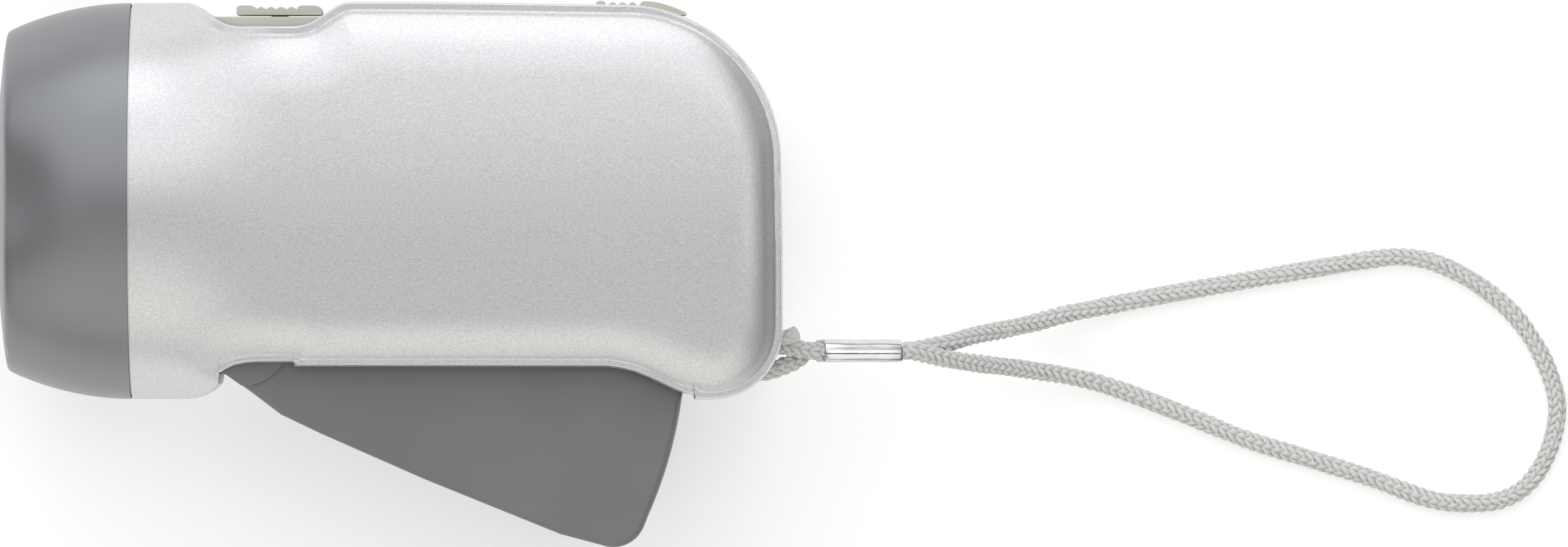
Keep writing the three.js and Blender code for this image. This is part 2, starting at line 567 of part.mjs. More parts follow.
function lockSlider() {
  const flatEnd = sliderStart + slider.flatLength;
  const top = sliderTop;
  const bumps = [];
  for (let i = 0; i < slider.ribCount; i += 1) {
    const x = sliderStart + slider.firstRib + (i + slider.ribShare) * slider.ribPitch;
    bumps.push([x - slider.rib, top], [x, top + slider.ribRise], [x + slider.rib, top]);
  }
  const run = sliderEnd - flatEnd;
  const tongue = [0.05, 0.2, 0.5, 0.75, 1].map((share) => [flatEnd + run * share,
    mix(top + slider.tongueRise, sliderFoot + slider.surface, share ** slider.curlShare)]);
  const outline = [[sliderStart, sliderFoot], [sliderStart, top + slider.firstRise],
    [sliderStart + slider.firstRib, top + slider.firstRise], [sliderStart + slider.firstRib, top],
    ...bumps, [flatEnd, top], ...tongue, [sliderEnd, sliderFoot]];
  const stem = block(stemStart, stemStart + slider.stemLength, lockTop + gap, sliderFoot + slider.surface,
    -slider.stemHalf, slider.stemHalf);
  return prism(outline.reverse(), -slider.half, slider.half).add(stem);
}
add('lock_slider', lockSlider(), 0xcdc9be, 0.5, 0);

const leverEnd = pivot[0] + reach;
const [hookFace, postFace, barBack] = [lockBar.hookGap, lockBar.postGap, lockBar.backGap]
  .map((away) => leverEnd + away);
const hookTop = pivot[1] + lever.windowRise;
add('lock_bar', prism([
  [stemStart, lockTop - lockBar.thick], [postFace, lockTop - lockBar.thick], [postFace, hookTop],
  [hookFace, hookTop], [hookFace, hookTop - lockBar.hookThick], [barBack, hookTop - lockBar.hookThick],
  [barBack, lockTop], [stemStart, lockTop],
], -lockBar.half, lockBar.half), 0x3a3c40, 0.6, 0);

// The lever is drawn squeezed shut, about its pivot, then swung open

const swung = (shape) => shape.rotate([0, 0, -lever.open]).translate([...pivot, 0]);

// The channel's outline, drawn in by a skin's thickness or by none
function leverLine(inset, closing) {
  const corner = [reach - lever.corner, lever.corner - lever.endDrop];
  return [
    ...round(0, 0, lever.frontRadius - inset, 5, 180, lever.frontTurn),
    [lever.bevelRun, inset - lever.bevelDrop],
    [reach / 2, inset - lever.floorDrop], [reach - lever.endRun, inset - lever.floorDrop],
    ...round(...corner, lever.corner - inset, 4, -90, lever.cornerTurn),
    ...round(0, 0, reach - inset, 3, lever.cornerTurn / 2, lever.wallTurn),
    ...closing,
  ];
}

function gearLine(x, y, teeth, module, turn, from = 0, count = teeth) {
  const pitch = 360 / teeth;
  const [rootShare, tipShare] = [0.27, 0.1];
  const [root, tip] = [(teeth / 2 - 1.15) * module, (teeth / 2 + 0.85) * module];
  const points = [];
  for (let i = from; i < from + count; i += 1) {
    const at = turn + i * pitch;
    points.push(polar(x, y, root, at - rootShare * pitch), polar(x, y, tip, at - tipShare * pitch),
      polar(x, y, tip, at + tipShare * pitch), polar(x, y, root, at + rootShare * pitch));
  }
  return points;
}

function squeezeLever() {
  const channelHalf = lever.halfWidth - lever.skin;
  const outside = leverLine(0, round(0, 0, lever.frontRadius, 4, lever.hubTurn, 180).slice(0, -1));
  const inside = leverLine(lever.skin, [
    [reach - lever.skin, reach], [lever.skin - lever.frontRadius, reach],
  ]);
  const wide = lever.halfWidth + lever.hubProud;
  const boss = disc(0, 0, lever.hubRadius, -wide, wide, 22).intersect(prism(outside, -far, far));
  const channel = prism(outside, -lever.halfWidth, lever.halfWidth).add(boss)
    .subtract(prism(inside, -channelHalf, channelHalf));
  const barrels = [
    disc(0, 0, lever.barrelRadius, -lever.halfWidth, lever.barrelEnd, 14),
    disc(0, 0, lever.barrelRadius, lever.farBarrelStart, lever.halfWidth, 14),
  ];
  const teeth = gearLine(0, 0, gears.sectorTeeth, tooth.sectorModule, gears.sectorTurn + lever.open,
    -gears.teethBefore, gears.teethBefore + gears.teethAfter + 1);
  const sector = prism([[0, 0], ...teeth], gears.sectorLow, gears.sectorHigh);
  const window = block(reach - lever.corner, reach + overrun,
    lever.windowRise - lever.windowHeight / 2, lever.windowRise + lever.windowHeight / 2,
    -lever.windowHalf, lever.windowHalf);
  return swung(cut(join([channel, ...barrels, sector]), [
    disc(0, 0, lever.boreRadius, -far, far, 12), window,
  ]));
}
add('squeeze_lever', squeezeLever(), 0x7d7f82, 0.5, 0);
add('lever_pin', disc(...pivot, pin.radius, -pin.half, pin.half, 14), 0xb4b6ba, 0.3, 0.9);

// The spring's coil goes round the pin; one end bears on the gear frame's post, the other on the lever

const spring = {
  radius: 2.7, wire: 0.4, low: -2.6, high: 8.4, turnCount: 5, leg: 12, legTurn: 41,
  floorLeg: 13.5, floorTurn: 11.3, floorStartTurn: 10,
};

function returnSpring() {
  const from = spring.legTurn - 90;
  const to = spring.floorStartTurn - lever.open - 90 - 360 * spring.turnCount;
  const first = polar(...pivot, spring.radius, from);
  const last = polar(...pivot, spring.radius, to);
  const points = [1, 0.5].map((share) => [...polar(...first, spring.leg * share, spring.legTurn), spring.high]);
  const steps = 9 * spring.turnCount;
  for (let i = 0; i <= steps; i += 1) {
    const share = i / steps;
    const [x, y] = polar(...pivot, spring.radius, mix(from, to, share));
    points.push([x, y, mix(spring.high, spring.low, share)]);
  }
  const turn = -lever.open - spring.floorTurn;
  points.push(...[0.5, 1].map((share) => [...polar(...last, spring.floorLeg * share, turn), spring.low]));
  return wire(points, spring.wire, 58, 5);
}
add('return_spring', returnSpring(), 0xb4b6ba, 0.3, 0.9);

// The gear train: the lever's toothed sector drives the first gear, and each wheel the next pinion

const half = (teeth) => 180 / teeth;
const gearHole = (at) => disc(...at, rotor.axle + running, -far, far, 12);
const firstPinionTurn = gears.sectorTurn + 180 + half(gears.firstPinion);
add('first_gear', prism(gearLine(...firstAt, gears.firstPinion, tooth.sectorModule, firstPinionTurn),
  gears.firstLow, gears.wheelLow + gap)
  .add(prism(gearLine(...firstAt, gears.firstWheel, tooth.wheelModule, gears.wheelTurn), gears.wheelLow,
    gears.wheelHigh)).subtract(gearHole(firstAt)), 0xe9e6dc, 0.5, 0);

const secondPinionTurn = gears.wheelTurn + 180 + half(gears.secondPinion);
add('second_gear', prism(gearLine(...secondAt, gears.secondPinion, tooth.wheelModule, secondPinionTurn),
  gears.secondLow, gears.topLow + gap)
  .add(prism(gearLine(...secondAt, gears.secondWheel, tooth.rotorModule, gears.rotorTurn), gears.topLow,
    gears.topHigh)).subtract(gearHole(secondAt)), 0xe9e6dc, 0.5, 0);

const rotorTurn = gears.rotorTurn + 180 + half(gears.rotorPinion);
const onShaft = (shape) => shape.subtract(disc(...rotorAt, rotor.shaft + running, -far, far, 12));
add('rotor_pinion', onShaft(prism(gearLine(...rotorAt, gears.rotorPinion, tooth.rotorModule, rotorTurn),
  gears.rotorLow, gears.rotorHigh)), 0xc9a24b, 0.35, 0.9);
const { flyLow, flyHigh, magnetLow, magnetHigh } = rotorLayers;
add('flywheel', onShaft(disc(...rotorAt, rotor.flywheel, flyLow, flyHigh, 28)), 0x9a9ca0, 0.35, 0.9);
add('rotor_magnet', onShaft(disc(...rotorAt, rotor.magnet, magnetLow, magnetHigh, 20)), 0x3b3c3f, 0.5, 0.4);

const [axleLow, axleHigh] = [frameLayers.low + gap, frameLayers.highTop - gap];
add('rotor_shaft', disc(...rotorAt, rotor.shaft, axleLow, axleHigh, 12), 0xb4b6ba, 0.3, 0.9);
add('gear_axle_1', disc(...firstAt, rotor.axle, axleLow, axleHigh, 12), 0xb4b6ba, 0.3, 0.9);
add('gear_axle_2', disc(...secondAt, rotor.axle, axleLow, axleHigh, 12), 0xb4b6ba, 0.3, 0.9);

// The gear frame: a plate with posts, and the plate that is screwed down on them

const backCorner = polar(...rotorAt, postReach - frame.edge, backTurn);
const plateCorners = [posts[3], [posts[3][0] - frame.edge, rotorAt[1] - stator.radius], posts[1], backCorner,
  posts[2], posts[0]];
const coverCorners = [posts[3], springPostAt, posts[1], backCorner, posts[2], posts[0]];
const plate = (corners, low, high) => join([prism(corners, low, high),
  ...corners.map((at) => disc(...at, frame.edge, low, high, 10))]);
const shaftHoles = [
  disc(...rotorAt, rotor.shaft + running, -far, far, 12),
  ...[firstAt, secondAt].map(gearHole),
];
const screwTop = frameLayers.highTop - frameLayers.headDepth;
const screwEnd = screwTop - frameLayers.screwLength;

add('gear_frame', cut(join([plate(plateCorners, frameLayers.low, frameLayers.lowTop),
  ...posts.map((at) => disc(...at, frame.post, frameLayers.lowTop - gap, frameLayers.high - gap, 10))]),
[...shaftHoles, ...posts.map((at) => disc(...at, frame.screw + gap, screwEnd - gap, far, 8))]),
0xd8d6cd, 0.6, 0);
add('gear_frame_cover', cut(plate(coverCorners, frameLayers.high, frameLayers.highTop)
  .add(disc(...springPostAt, frame.springPost, frameLayers.springPostLow, frameLayers.high + gap, 12)),
[...shaftHoles, ...posts.flatMap((at) => [disc(...at, frame.screw + gap, frameLayers.high - overrun, far, 8),
  disc(...at, frame.screwHead + gap, screwTop - gap / 2, far, 10)])]), 0xd8d6cd, 0.6, 0);
for (const [i, at] of posts.entries()) {
  add(`frame_screw_${i + 1}`, disc(...at, frame.screw, screwEnd, screwTop + frameLayers.headDepth / 2, 8)
    .add(disc(...at, frame.screwHead, screwTop, frameLayers.highTop, 10)), 0x8a8c8f, 0.35, 0.9);
}

// The stator round the magnet

const turnedUp = (profile, sides = 24) => solid(new THREE.LatheGeometry(
  [...profile, profile[0]].map(([r, z]) => new THREE.Vector2(r, z)), sides).rotateX(Math.PI / 2)
  .translate(...rotorAt, 0));
const waist = (statorLayers.low + statorLayers.high) / 2;
const cupInner = stator.radius - stator.wall;
for (const [i, [end, inner]] of [[statorLayers.low, 1], [statorLayers.high, -1]].entries()) {
  const edge = waist - inner * gap / 2;
  const floor = end + inner * stator.wall;
  add(`stator_cup_${i + 1}`, turnedUp([[stator.bore, end], [stator.radius, end], [stator.radius, edge],
    [cupInner, edge], [cupInner, floor], [stator.bore, floor]]), 0x9a9ca0, 0.4, 0.8);
}
const [spoolLow, spoolHigh] = [statorLayers.low + stator.wall + gap, statorLayers.high - stator.wall - gap];
const spoolOut = cupInner - gap;
const spoolIn = stator.bore + stator.spool;
const [flangeLow, flangeHigh] = [spoolLow + stator.spool, spoolHigh - stator.spool];
add('coil_bobbin', turnedUp([[stator.bore, spoolLow], [spoolOut, spoolLow], [spoolOut, flangeLow],
  [spoolIn, flangeLow], [spoolIn, flangeHigh], [spoolOut, flangeHigh], [spoolOut, spoolHigh],
  [stator.bore, spoolHigh]]), 0xefeeea, 0.5, 0);
const coilIn = spoolIn + stator.coilClear;
const coilOut = coilIn + stator.coilWall;
const [coilLow, coilHigh] = [flangeLow + gap, flangeHigh - gap];
const coil = turnedUp([[coilIn, coilLow], [coilOut, coilLow], [coilOut, coilHigh], [coilIn, coilHigh]]);
add('coil_winding', coil, 0xb5652b, 0.35, 0.7);

// The circuit board, the cell and the wires

add('circuit_board', block(circuit.start, circuit.end, circuit.low, circuitTop, circuit.face - circuit.thick,
  circuit.face), 0x2f6b3c, 0.6, 0);
add('storage_cell', disc(cell.x, cell.y, cell.radius, cell.low, cell.high, 24), 0x3f6f4f, 0.4, 0.2);
const footTab = cell.low - gap - cell.tab;
add('cell_tab_1', disc(cell.x, cell.y, cell.tabRadius, footTab, footTab + cell.tab, 12), 0xb4b6ba, 0.3, 0.9);
const tabTop = cell.high + gap + cell.tab;
const tabEnd = cell.x + cell.radius + gap + cell.tab;
add('cell_tab_2', block(cell.x - cell.tabRadius, tabEnd, cell.y - cell.tabHalf, cell.y + cell.tabHalf,
  cell.high + gap, tabTop).add(block(tabEnd - cell.tab, tabEnd, cell.y - cell.tabHalf, cell.y + cell.tabHalf,
  circuit.face + gap, tabTop)), 0xb4b6ba, 0.3, 0.9);

// Each lead runs from one end to the other by way of points given as shares of the way in X, Y and Z
const leads = {
  radius: 0.45, above: 0.4, lampBehind: 1, redDrop: 4, redBelow: 6, redIn: 2.4, redSag: 0.8, blackDrop: 2.4,
  blackBelow: 7, blackIn: 0.8, blackSag: 1, switchBack: 1.7, switchUnder: 0.5, switchUp: 1, switchRun: 14.6,
  coilBehind: 0.366, coilRise: 1.4, coilDrop: 1.6, coilUp: 3.2, coilApart: 2, wheelOver: 0.4, pitch: 1.6,
};
const coilEnd = firstAt[0] - gears.firstWheel * tooth.wheelModule / 2 + leads.wheelOver;
const onBoard = circuit.face + leads.above;
const coilX = rotorAt[0] - stator.radius - leads.coilBehind;
const boardRow = circuitTop - leads.coilApart;
const leadRuns = {
  lamp_wire_red: {
    color: 0xb23a30, from: [boardBack + leads.lampBehind, -leads.redDrop, -leads.redBelow],
    to: [circuit.start + leads.redIn, -leads.redDrop - leads.redSag, onBoard],
    shares: [[0.186, 0.25, 0.435], [0.546, 0.75, 0.783], [0.918, 1, 0.848]],
  },
  lamp_wire_black: {
    color: 0x26272a, from: [boardBack + leads.lampBehind, -leads.blackDrop, -leads.blackBelow],
    to: [circuit.start + leads.blackIn, -leads.blackDrop - leads.blackSag, onBoard],
    shares: [[0.222, 0.4, 0.444], [0.481, 0.8, 0.722], [0.802, 1, 0.833]],
  },
  switch_wire: {
    color: 0xd9b13a,
    from: [knobMiddle - leads.switchBack, switchTop - switchBox.depth - leads.switchUnder, leads.switchUp],
    to: [circuit.start + leads.switchRun, boardRow, onBoard],
    shares: [[0, 0.517, 0.086], [0.667, 0.931, 0.517]],
  },
  coil_wire_1: {
    color: 0xb5652b, from: [coilX, rotorAt[1] + leads.coilRise * fit, statorLayers.low + leads.coilUp],
    to: [coilEnd, boardRow, onBoard],
    shares: [[0.26, 0.5, 0.062], [0.718, 0.8, 0.123], [0.962, 1, 0.284], [1, 1, 0.654]],
  },
  coil_wire_2: {
    color: 0xb5652b,
    from: [coilX, rotorAt[1] - leads.coilDrop * fit, statorLayers.low + leads.coilUp + leads.coilApart],
    to: [coilEnd - leads.pitch, boardRow - leads.coilApart, onBoard],
    shares: [[0.245, 0.5, 0.066], [0.676, 0.833, 0.143], [0.95, 1, 0.363], [1, 1, 0.692]],
  },
};
for (const [name, { color, from, to, shares }] of Object.entries(leadRuns)) {
  const points = [[0, 0, 0], ...shares, [1, 1, 1]]
    .map((at) => at.map((share, k) => mix(from[k], to[k], share)));
  add(name, wire(points, leads.radius, 8, 5), color, 0.5, 0);
}

// The wrist cord: both its ends go into the tail beside the steel bar, and a crimped ferrule holds the two
// runs together. Its points are [x, y, height above the surface that the torch lies on].

add('lanyard_bar', disc(...lanyardAt, lanyard.bar, -lanyard.barHalf, lanyard.barHalf, 12),
  0xb4b6ba, 0.3, 0.9);

const cord = {
  radius: 1.15,
  lowerEnd: [[98.5, -22.4, 22.4], [100.6, -22.4, 22.4], [102.8, -21.7, 22], [104.6, -20.9, 21.2]],
  loop: [
    [124, -18.8, 15], [128, -17.7, 11.9], [132.1, -16.9, 8.6], [136.1, -16, 5.7], [140.1, -14.9, 3.6],
    [144.2, -14.1, 2.15], [148.2, -13.3, 1.4], [156.3, -11.8, 1.25], [164.3, -10.4, 1.25], [172.4, -9, 1.25],
    [180.4, -7.7, 1.25], [184.4, -7.3, 1.25], [188.5, -7.9, 1.25], [192.5, -9.6, 1.25], [195.7, -11.6, 1.25],
    [199.4, -14.8, 1.25], [202.4, -18.9, 1.25], [204.3, -22.9, 1.25], [205.3, -26.9, 1.25],
    [204.8, -30.9, 1.25], [203.2, -35, 1.25], [200.6, -38.1, 1.25], [197.3, -39.6, 1.25],
    [192.5, -39.9, 1.25], [188.5, -39.4, 1.25], [180.4, -36.5, 1.25], [172.4, -34, 1.25], [164.3, -31.5, 1.25],
    [156.3, -28.3, 1.25], [148.2, -25.2, 1.4], [144.2, -23.9, 2.2], [140.1, -23, 3.75], [136.1, -22.4, 6.1],
    [132.1, -21.8, 9.3], [128, -21.3, 13], [124, -20.7, 16.6],
  ],
  upperEnd: [[104.4, -19.35, 22.95], [102.2, -18.9, 22.8], [98.6, -18.75, 22.5]],
};
const ferrule = {
  x: 112.85, y: -19.7, height: 20, length: 10.6, leanTurn: 14, radius: 1.5, bore: 1.22, offset: 1.2,
  straight: 1.4,
};

// A point inside the ferrule, by how far along it and how far above its middle
function inFerrule(along, over) {
  const [c, s] = [Math.cos(ferrule.leanTurn * degree), Math.sin(ferrule.leanTurn * degree)];
  return [ferrule.x + along * c + over * s, ferrule.y, ferrule.height - along * s + over * c];
}
const halfFerrule = ferrule.length / 2;
const through = [-halfFerrule - ferrule.straight, -halfFerrule, halfFerrule, halfFerrule + ferrule.straight];
const cordPath = [
  ...cord.lowerEnd, ...through.map((along) => inFerrule(along, -ferrule.offset)),
  ...cord.loop, ...[...through].reverse().map((along) => inFerrule(along, ferrule.offset)), ...cord.upperEnd,
].map(([x, y, height]) => [x, y, height - halfDepth]);
add('wrist_cord', wire(cordPath, cord.radius, 76, 8), 0xc9ccc6, 0.9, 0);

const sleeve = (radius) => [
  ...round(0, ferrule.offset, radius, 6, 0, 180), ...round(0, -ferrule.offset, radius, 6, 180, 360),
];
add('cord_ferrule', prism(sleeve(ferrule.radius), -halfFerrule, halfFerrule)
  .subtract(prism(sleeve(ferrule.bore), -halfFerrule - overrun, halfFerrule + overrun))
  .rotate([0, 0, 90]).rotate([0, 90, 0]).rotate([0, ferrule.leanTurn, 0])
  .translate([ferrule.x, ferrule.y, ferrule.height - halfDepth]), 0xd9dadb, 0.15, 1);

const tag = { x: 104, y: -18.1, height: 25, radius: 0.9, length: 2.4 };
add('cord_tag', wire([[tag.x - tag.length / 2, tag.y, tag.height - halfDepth], [tag.x, tag.y,
  tag.height - halfDepth], [tag.x + tag.length / 2, tag.y, tag.height - halfDepth]], tag.radius, 2, 8),
0xc9ccc6, 0.9, 0);

// The origin: the middle of the foot of the torch's box, without the free cord

const box = new THREE.Box3();
const free = ['wrist_cord', 'cord_ferrule', 'cord_tag'];
for (const mesh of part.children) {
  if (!free.includes(mesh.name)) box.expandByObject(mesh);
}
const centre = box.getCenter(new THREE.Vector3());
part.position.set(-centre.x, -centre.y, -box.min.z);

export default part;
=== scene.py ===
# %% [markdown]
# # A pocket torch that is pumped by hand
# The torch lies on its right side and is seen from straight above: lamp to the left, squeeze lever open
# below the body, wrist cord laid out to the right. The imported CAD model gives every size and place. Each
# piece that shows is made again here as a fine mesh round the solid that it stands for.

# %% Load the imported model
import json
from math import copysign, cos, exp, pi, radians, sin, sqrt

import bmesh
import bpy
import numpy as np
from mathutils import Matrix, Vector

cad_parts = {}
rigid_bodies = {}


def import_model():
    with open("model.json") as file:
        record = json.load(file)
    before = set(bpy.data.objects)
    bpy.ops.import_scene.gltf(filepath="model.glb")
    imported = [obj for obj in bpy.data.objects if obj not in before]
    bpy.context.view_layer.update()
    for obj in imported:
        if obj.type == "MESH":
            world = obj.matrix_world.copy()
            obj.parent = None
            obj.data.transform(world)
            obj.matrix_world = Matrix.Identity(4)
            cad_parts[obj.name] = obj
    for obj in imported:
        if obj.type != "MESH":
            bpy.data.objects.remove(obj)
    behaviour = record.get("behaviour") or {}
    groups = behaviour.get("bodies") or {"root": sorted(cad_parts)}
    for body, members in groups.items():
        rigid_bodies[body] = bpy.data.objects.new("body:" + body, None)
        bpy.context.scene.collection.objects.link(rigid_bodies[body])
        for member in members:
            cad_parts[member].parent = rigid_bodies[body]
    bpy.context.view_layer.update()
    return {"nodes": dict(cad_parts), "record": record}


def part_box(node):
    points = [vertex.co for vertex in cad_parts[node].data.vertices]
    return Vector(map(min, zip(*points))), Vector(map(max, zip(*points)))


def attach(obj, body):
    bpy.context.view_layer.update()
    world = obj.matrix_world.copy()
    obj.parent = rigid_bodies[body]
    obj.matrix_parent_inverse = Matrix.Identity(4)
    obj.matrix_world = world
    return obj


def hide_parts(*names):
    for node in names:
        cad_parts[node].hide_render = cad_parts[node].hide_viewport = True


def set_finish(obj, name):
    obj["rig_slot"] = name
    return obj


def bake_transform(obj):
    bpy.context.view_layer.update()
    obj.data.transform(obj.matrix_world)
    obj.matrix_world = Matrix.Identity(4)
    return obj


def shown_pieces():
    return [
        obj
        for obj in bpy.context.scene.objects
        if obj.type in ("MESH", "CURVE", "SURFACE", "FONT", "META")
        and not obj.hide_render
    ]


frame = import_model()

# %% [markdown]
# The lamp's ring is symmetric, so the middle of its box gives the lamp's axis and the plane where the two
# shells meet. Every outline is written in millimetres from there, as on a drawing, and one helper turns it
# into Blender's metres.

# %% Millimetres from the lamp's front, its axis and the seam
MM = 0.001
ring_low, ring_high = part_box("head_bezel")
lamp_front = Vector((ring_low[0], (ring_low[1] + ring_high[1]) / 2, (ring_low[2] + ring_high[2]) / 2))
HALF_DEPTH = (ring_high[2] - ring_low[2]) / 2 / MM
LENGTH = (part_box("left_shell")[1][0] - ring_low[0]) / MM


def place(x, y, z=0.0):
    return lamp_front + Vector((x, y, z)) * MM


print("lamp axis at", [round(v, 5) for v in lamp_front], "half depth", round(HALF_DEPTH, 2), "mm")

# %% [markdown]
# The photograph was taken from well above with little perspective. A long lens three metres up gives the
# same flat look. The field of view is set so that 2576 picture columns cover 206 mm at the seam's height.

# %% The camera
def add_object(name, data):
    made = bpy.data.objects.new(name, data)
    bpy.context.scene.collection.objects.link(made)
    return made


PICTURE_MIDDLE = (102.94, -9.52)
CAMERA_HEIGHT = 3000.0
camera_data = bpy.data.cameras.new("camera")
camera_data.sensor_width = 36.0
camera_data.lens = 524.0
camera_data.clip_end = 20.0
camera = add_object("camera", camera_data)
camera.location = place(*PICTURE_MIDDLE, CAMERA_HEIGHT)
bpy.context.scene.camera = camera
print("camera", [round(v, 4) for v in camera.location])

# %% [markdown]
# A mesh is written as lists of corners, in millimetres, and faces. Edges that turn more than a given angle
# stay sharp and all others are shaded smooth, as a moulded surface reads: soft faces, crisp rims.


# %% Make a mesh piece
SHARP = 34.0
MERGE_DISTANCE = 1e-7


def finish_mesh(piece, sharp=SHARP):
    """Shades smooth, but keeps the edges sharp where the surface really turns."""
    mesh = piece.data
    shape = bmesh.new()
    shape.from_mesh(mesh)
    bmesh.ops.remove_doubles(shape, verts=shape.verts, dist=MERGE_DISTANCE)
    bmesh.ops.dissolve_degenerate(shape, edges=shape.edges, dist=MERGE_DISTANCE)
    bmesh.ops.recalc_face_normals(shape, faces=shape.faces)
    for face in shape.faces:
        face.smooth = True
    for edge in shape.edges:
        edge.smooth = not (len(edge.link_faces) == 2 and edge.calc_face_angle(0.0) > radians(sharp))
    shape.to_mesh(mesh)
    shape.free()
    mesh.update()
    return piece


def mesh_piece(name, corners, faces, sharp=SHARP):
    mesh = bpy.data.meshes.new(name)
    mesh.from_pydata([place(*corner) for corner in corners], [], faces)
    return finish_mesh(add_object(name, mesh), sharp)


# %% Skin a row of rings
def skin(name, rings, closed=False, sharp=SHARP):
    """Joins rings of equal length one to the next; the ends are capped, or the last ring meets the first."""
    count = len(rings[0])
    corners = [point for ring in rings for point in ring]
    faces = []
    last = len(rings) if closed else len(rings) - 1
    for i in range(last):
        here, there = i * count, (i + 1) % len(rings) * count
        for j in range(count):
            k = (j + 1) % count
            faces.append((here + j, here + k, there + k, there + j))
    if not closed:
        faces.append(tuple(range(count))[::-1])
        faces.append(tuple(range((len(rings) - 1) * count, len(rings) * count)))
    return mesh_piece(name, corners, faces, sharp)


def prism(name, outline, low, high, sharp=SHARP):
    """An outline in X and Y, drawn out from one height to another."""
    return skin(name, [[(x, y, z) for x, y in outline] for z in (low, high)], sharp=sharp)


# %% Arcs, blocks and discs as outlines
def polar(x, y, radius, degrees):
    t = radians(degrees)
    return x + radius * cos(t), y + radius * sin(t)


def arc(x, y, radius, start, end, steps):
    return [polar(x, y, radius, start + (end - start) * i / steps) for i in range(steps + 1)]


def block_outline(low_x, high_x, low_y, high_y):
    return [(low_x, low_y), (high_x, low_y), (high_x, high_y), (low_x, high_y)]


def disc_outline(x, y, radius, steps=48):
    return arc(x, y, radius, 0.0, 360.0, steps)[:-1]


# %% [markdown]
# Moulded parts have small rounded edges that catch the light. A Bevel modifier limited by angle makes them.
# Openings are cut with a Boolean modifier. Both are written back, so that the surface is plain geometry.


# %% Apply modifiers, cut and soften
BEVEL_ANGLE = 32.0


def apply_modifiers(piece):
    ready = piece.evaluated_get(bpy.context.evaluated_depsgraph_get())
    mesh = bpy.data.meshes.new_from_object(ready)
    piece.modifiers.clear()
    old = piece.data
    piece.data = mesh
    bpy.data.meshes.remove(old)


def combine(piece, tools, operation="DIFFERENCE", sharp=SHARP):
    for tool in tools:
        modifier = piece.modifiers.new("combine", "BOOLEAN")
        modifier.operation = operation
        modifier.object = tool
        modifier.solver = "MANIFOLD"
        apply_modifiers(piece)
        bpy.data.objects.remove(tool, do_unlink=True)
    return finish_mesh(piece, sharp)


def soft_prism(name, outline_points, low, high, bevel, segments=4, sharp=45.0):
    piece = prism(name, outline_points, low, high, sharp)
    modifier = piece.modifiers.new("soften", "BEVEL")
    modifier.width = bevel * MM
    modifier.segments = segments
    modifier.limit_method = "ANGLE"
    modifier.angle_limit = radians(BEVEL_ANGLE)
    apply_modifiers(piece)
    return finish_mesh(piece, sharp)


# %% [markdown]
# ## The wrist cord
# The cord is one braided length of about 2.3 mm, held in the tail and pinched by a metal ferrule. It goes
# down from the tail to the table, round in a long loop and back. A Catmull-Rom curve goes through each
# point, so the few points that were read off give a smooth line.


# %% The route of the cord
def smooth_route(points, per_span=24):
    points = np.array(points, float)
    points = np.vstack([2 * points[0] - points[1], points, 2 * points[-1] - points[-2]])
    line = []
    for i in range(1, len(points) - 2):
        a, b, c, d = points[i - 1 : i + 3]
        before, span, after = [max(np.linalg.norm(q - p), 1e-6) ** 0.5 for p, q in ((a, b), (b, c), (c, d))]
        leave = (b - a) / before - (c - a) / (before + span) + (c - b) / span
        arrive = (c - b) / span - (d - b) / (span + after) + (d - c) / after
        leave, arrive = leave * span, arrive * span
        for t in np.linspace(0, 1, per_span, endpoint=False):
            line.append(b + leave * t + (-3 * b + 3 * c - 2 * leave - arrive) * t**2
                        + (2 * b - 2 * c + leave + arrive) * t**3)
    line.append(points[-2])
    return np.array(line)


def even_steps(line, step):
    run = np.concatenate([[0], np.cumsum(np.linalg.norm(np.diff(line, axis=0), axis=1))])
    marks = np.linspace(0, run[-1], max(2, int(round(run[-1] / step))))
    return np.column_stack([np.interp(marks, run, line[:, k]) for k in range(3)]), marks


CORD_RADIUS = 1.15
CORD_REST = 1.25
CORD_STEP = 0.16
ferrule = {"x": 112.85, "y": -19.7, "height": 20.0, "length": 10.6, "lean": 14.0, "offset": 1.2,
           "straight": 1.4}


def in_ferrule(along, over):
    c, s = cos(radians(ferrule["lean"])), sin(radians(ferrule["lean"]))
    return (ferrule["x"] + along * c + over * s, ferrule["y"], ferrule["height"] - along * s + over * c)


# %% Points of the cord, as x, y and height above the table
half_ferrule = ferrule["length"] / 2
beyond = half_ferrule + ferrule["straight"]
through = [-beyond, -half_ferrule, half_ferrule, beyond]
lower_end = [(98.5, -22.4, 22.4), (100.6, -22.4, 22.4), (102.8, -21.7, 22.0), (104.6, -20.9, 21.2)]
descent = [(124, -18.8, 15.0), (128, -17.7, 11.9), (132.1, -16.9, 8.6), (136.1, -16, 5.7),
           (140.1, -14.9, 3.6), (144.2, -14.1, 2.15), (148.2, -13.3, 1.4)]
on_table = [(156.3, -11.8), (164.3, -10.4), (172.4, -9), (180.4, -7.7), (184.4, -7.3), (188.5, -7.9),
            (192.5, -9.6), (195.7, -11.6), (199.4, -14.8), (202.4, -18.9), (204.3, -22.9),
            (205.3, -26.9), (204.8, -30.9), (203.2, -35), (200.6, -38.1), (197.3, -39.6),
            (192.5, -39.9), (188.5, -39.4), (180.4, -36.5), (172.4, -34), (164.3, -31.5), (156.3, -28.3)]
ascent = [(148.2, -25.2, 1.4), (144.2, -23.9, 2.2), (140.1, -23, 3.75), (136.1, -22.4, 6.1),
          (132.1, -21.8, 9.3), (128, -21.3, 13.0), (124, -20.7, 16.6)]
loop = descent + [(x, y, CORD_REST) for x, y in on_table] + ascent
upper_end = [(104.4, -19.35, 22.95), (102.2, -18.9, 22.8), (98.6, -18.75, 22.5)]
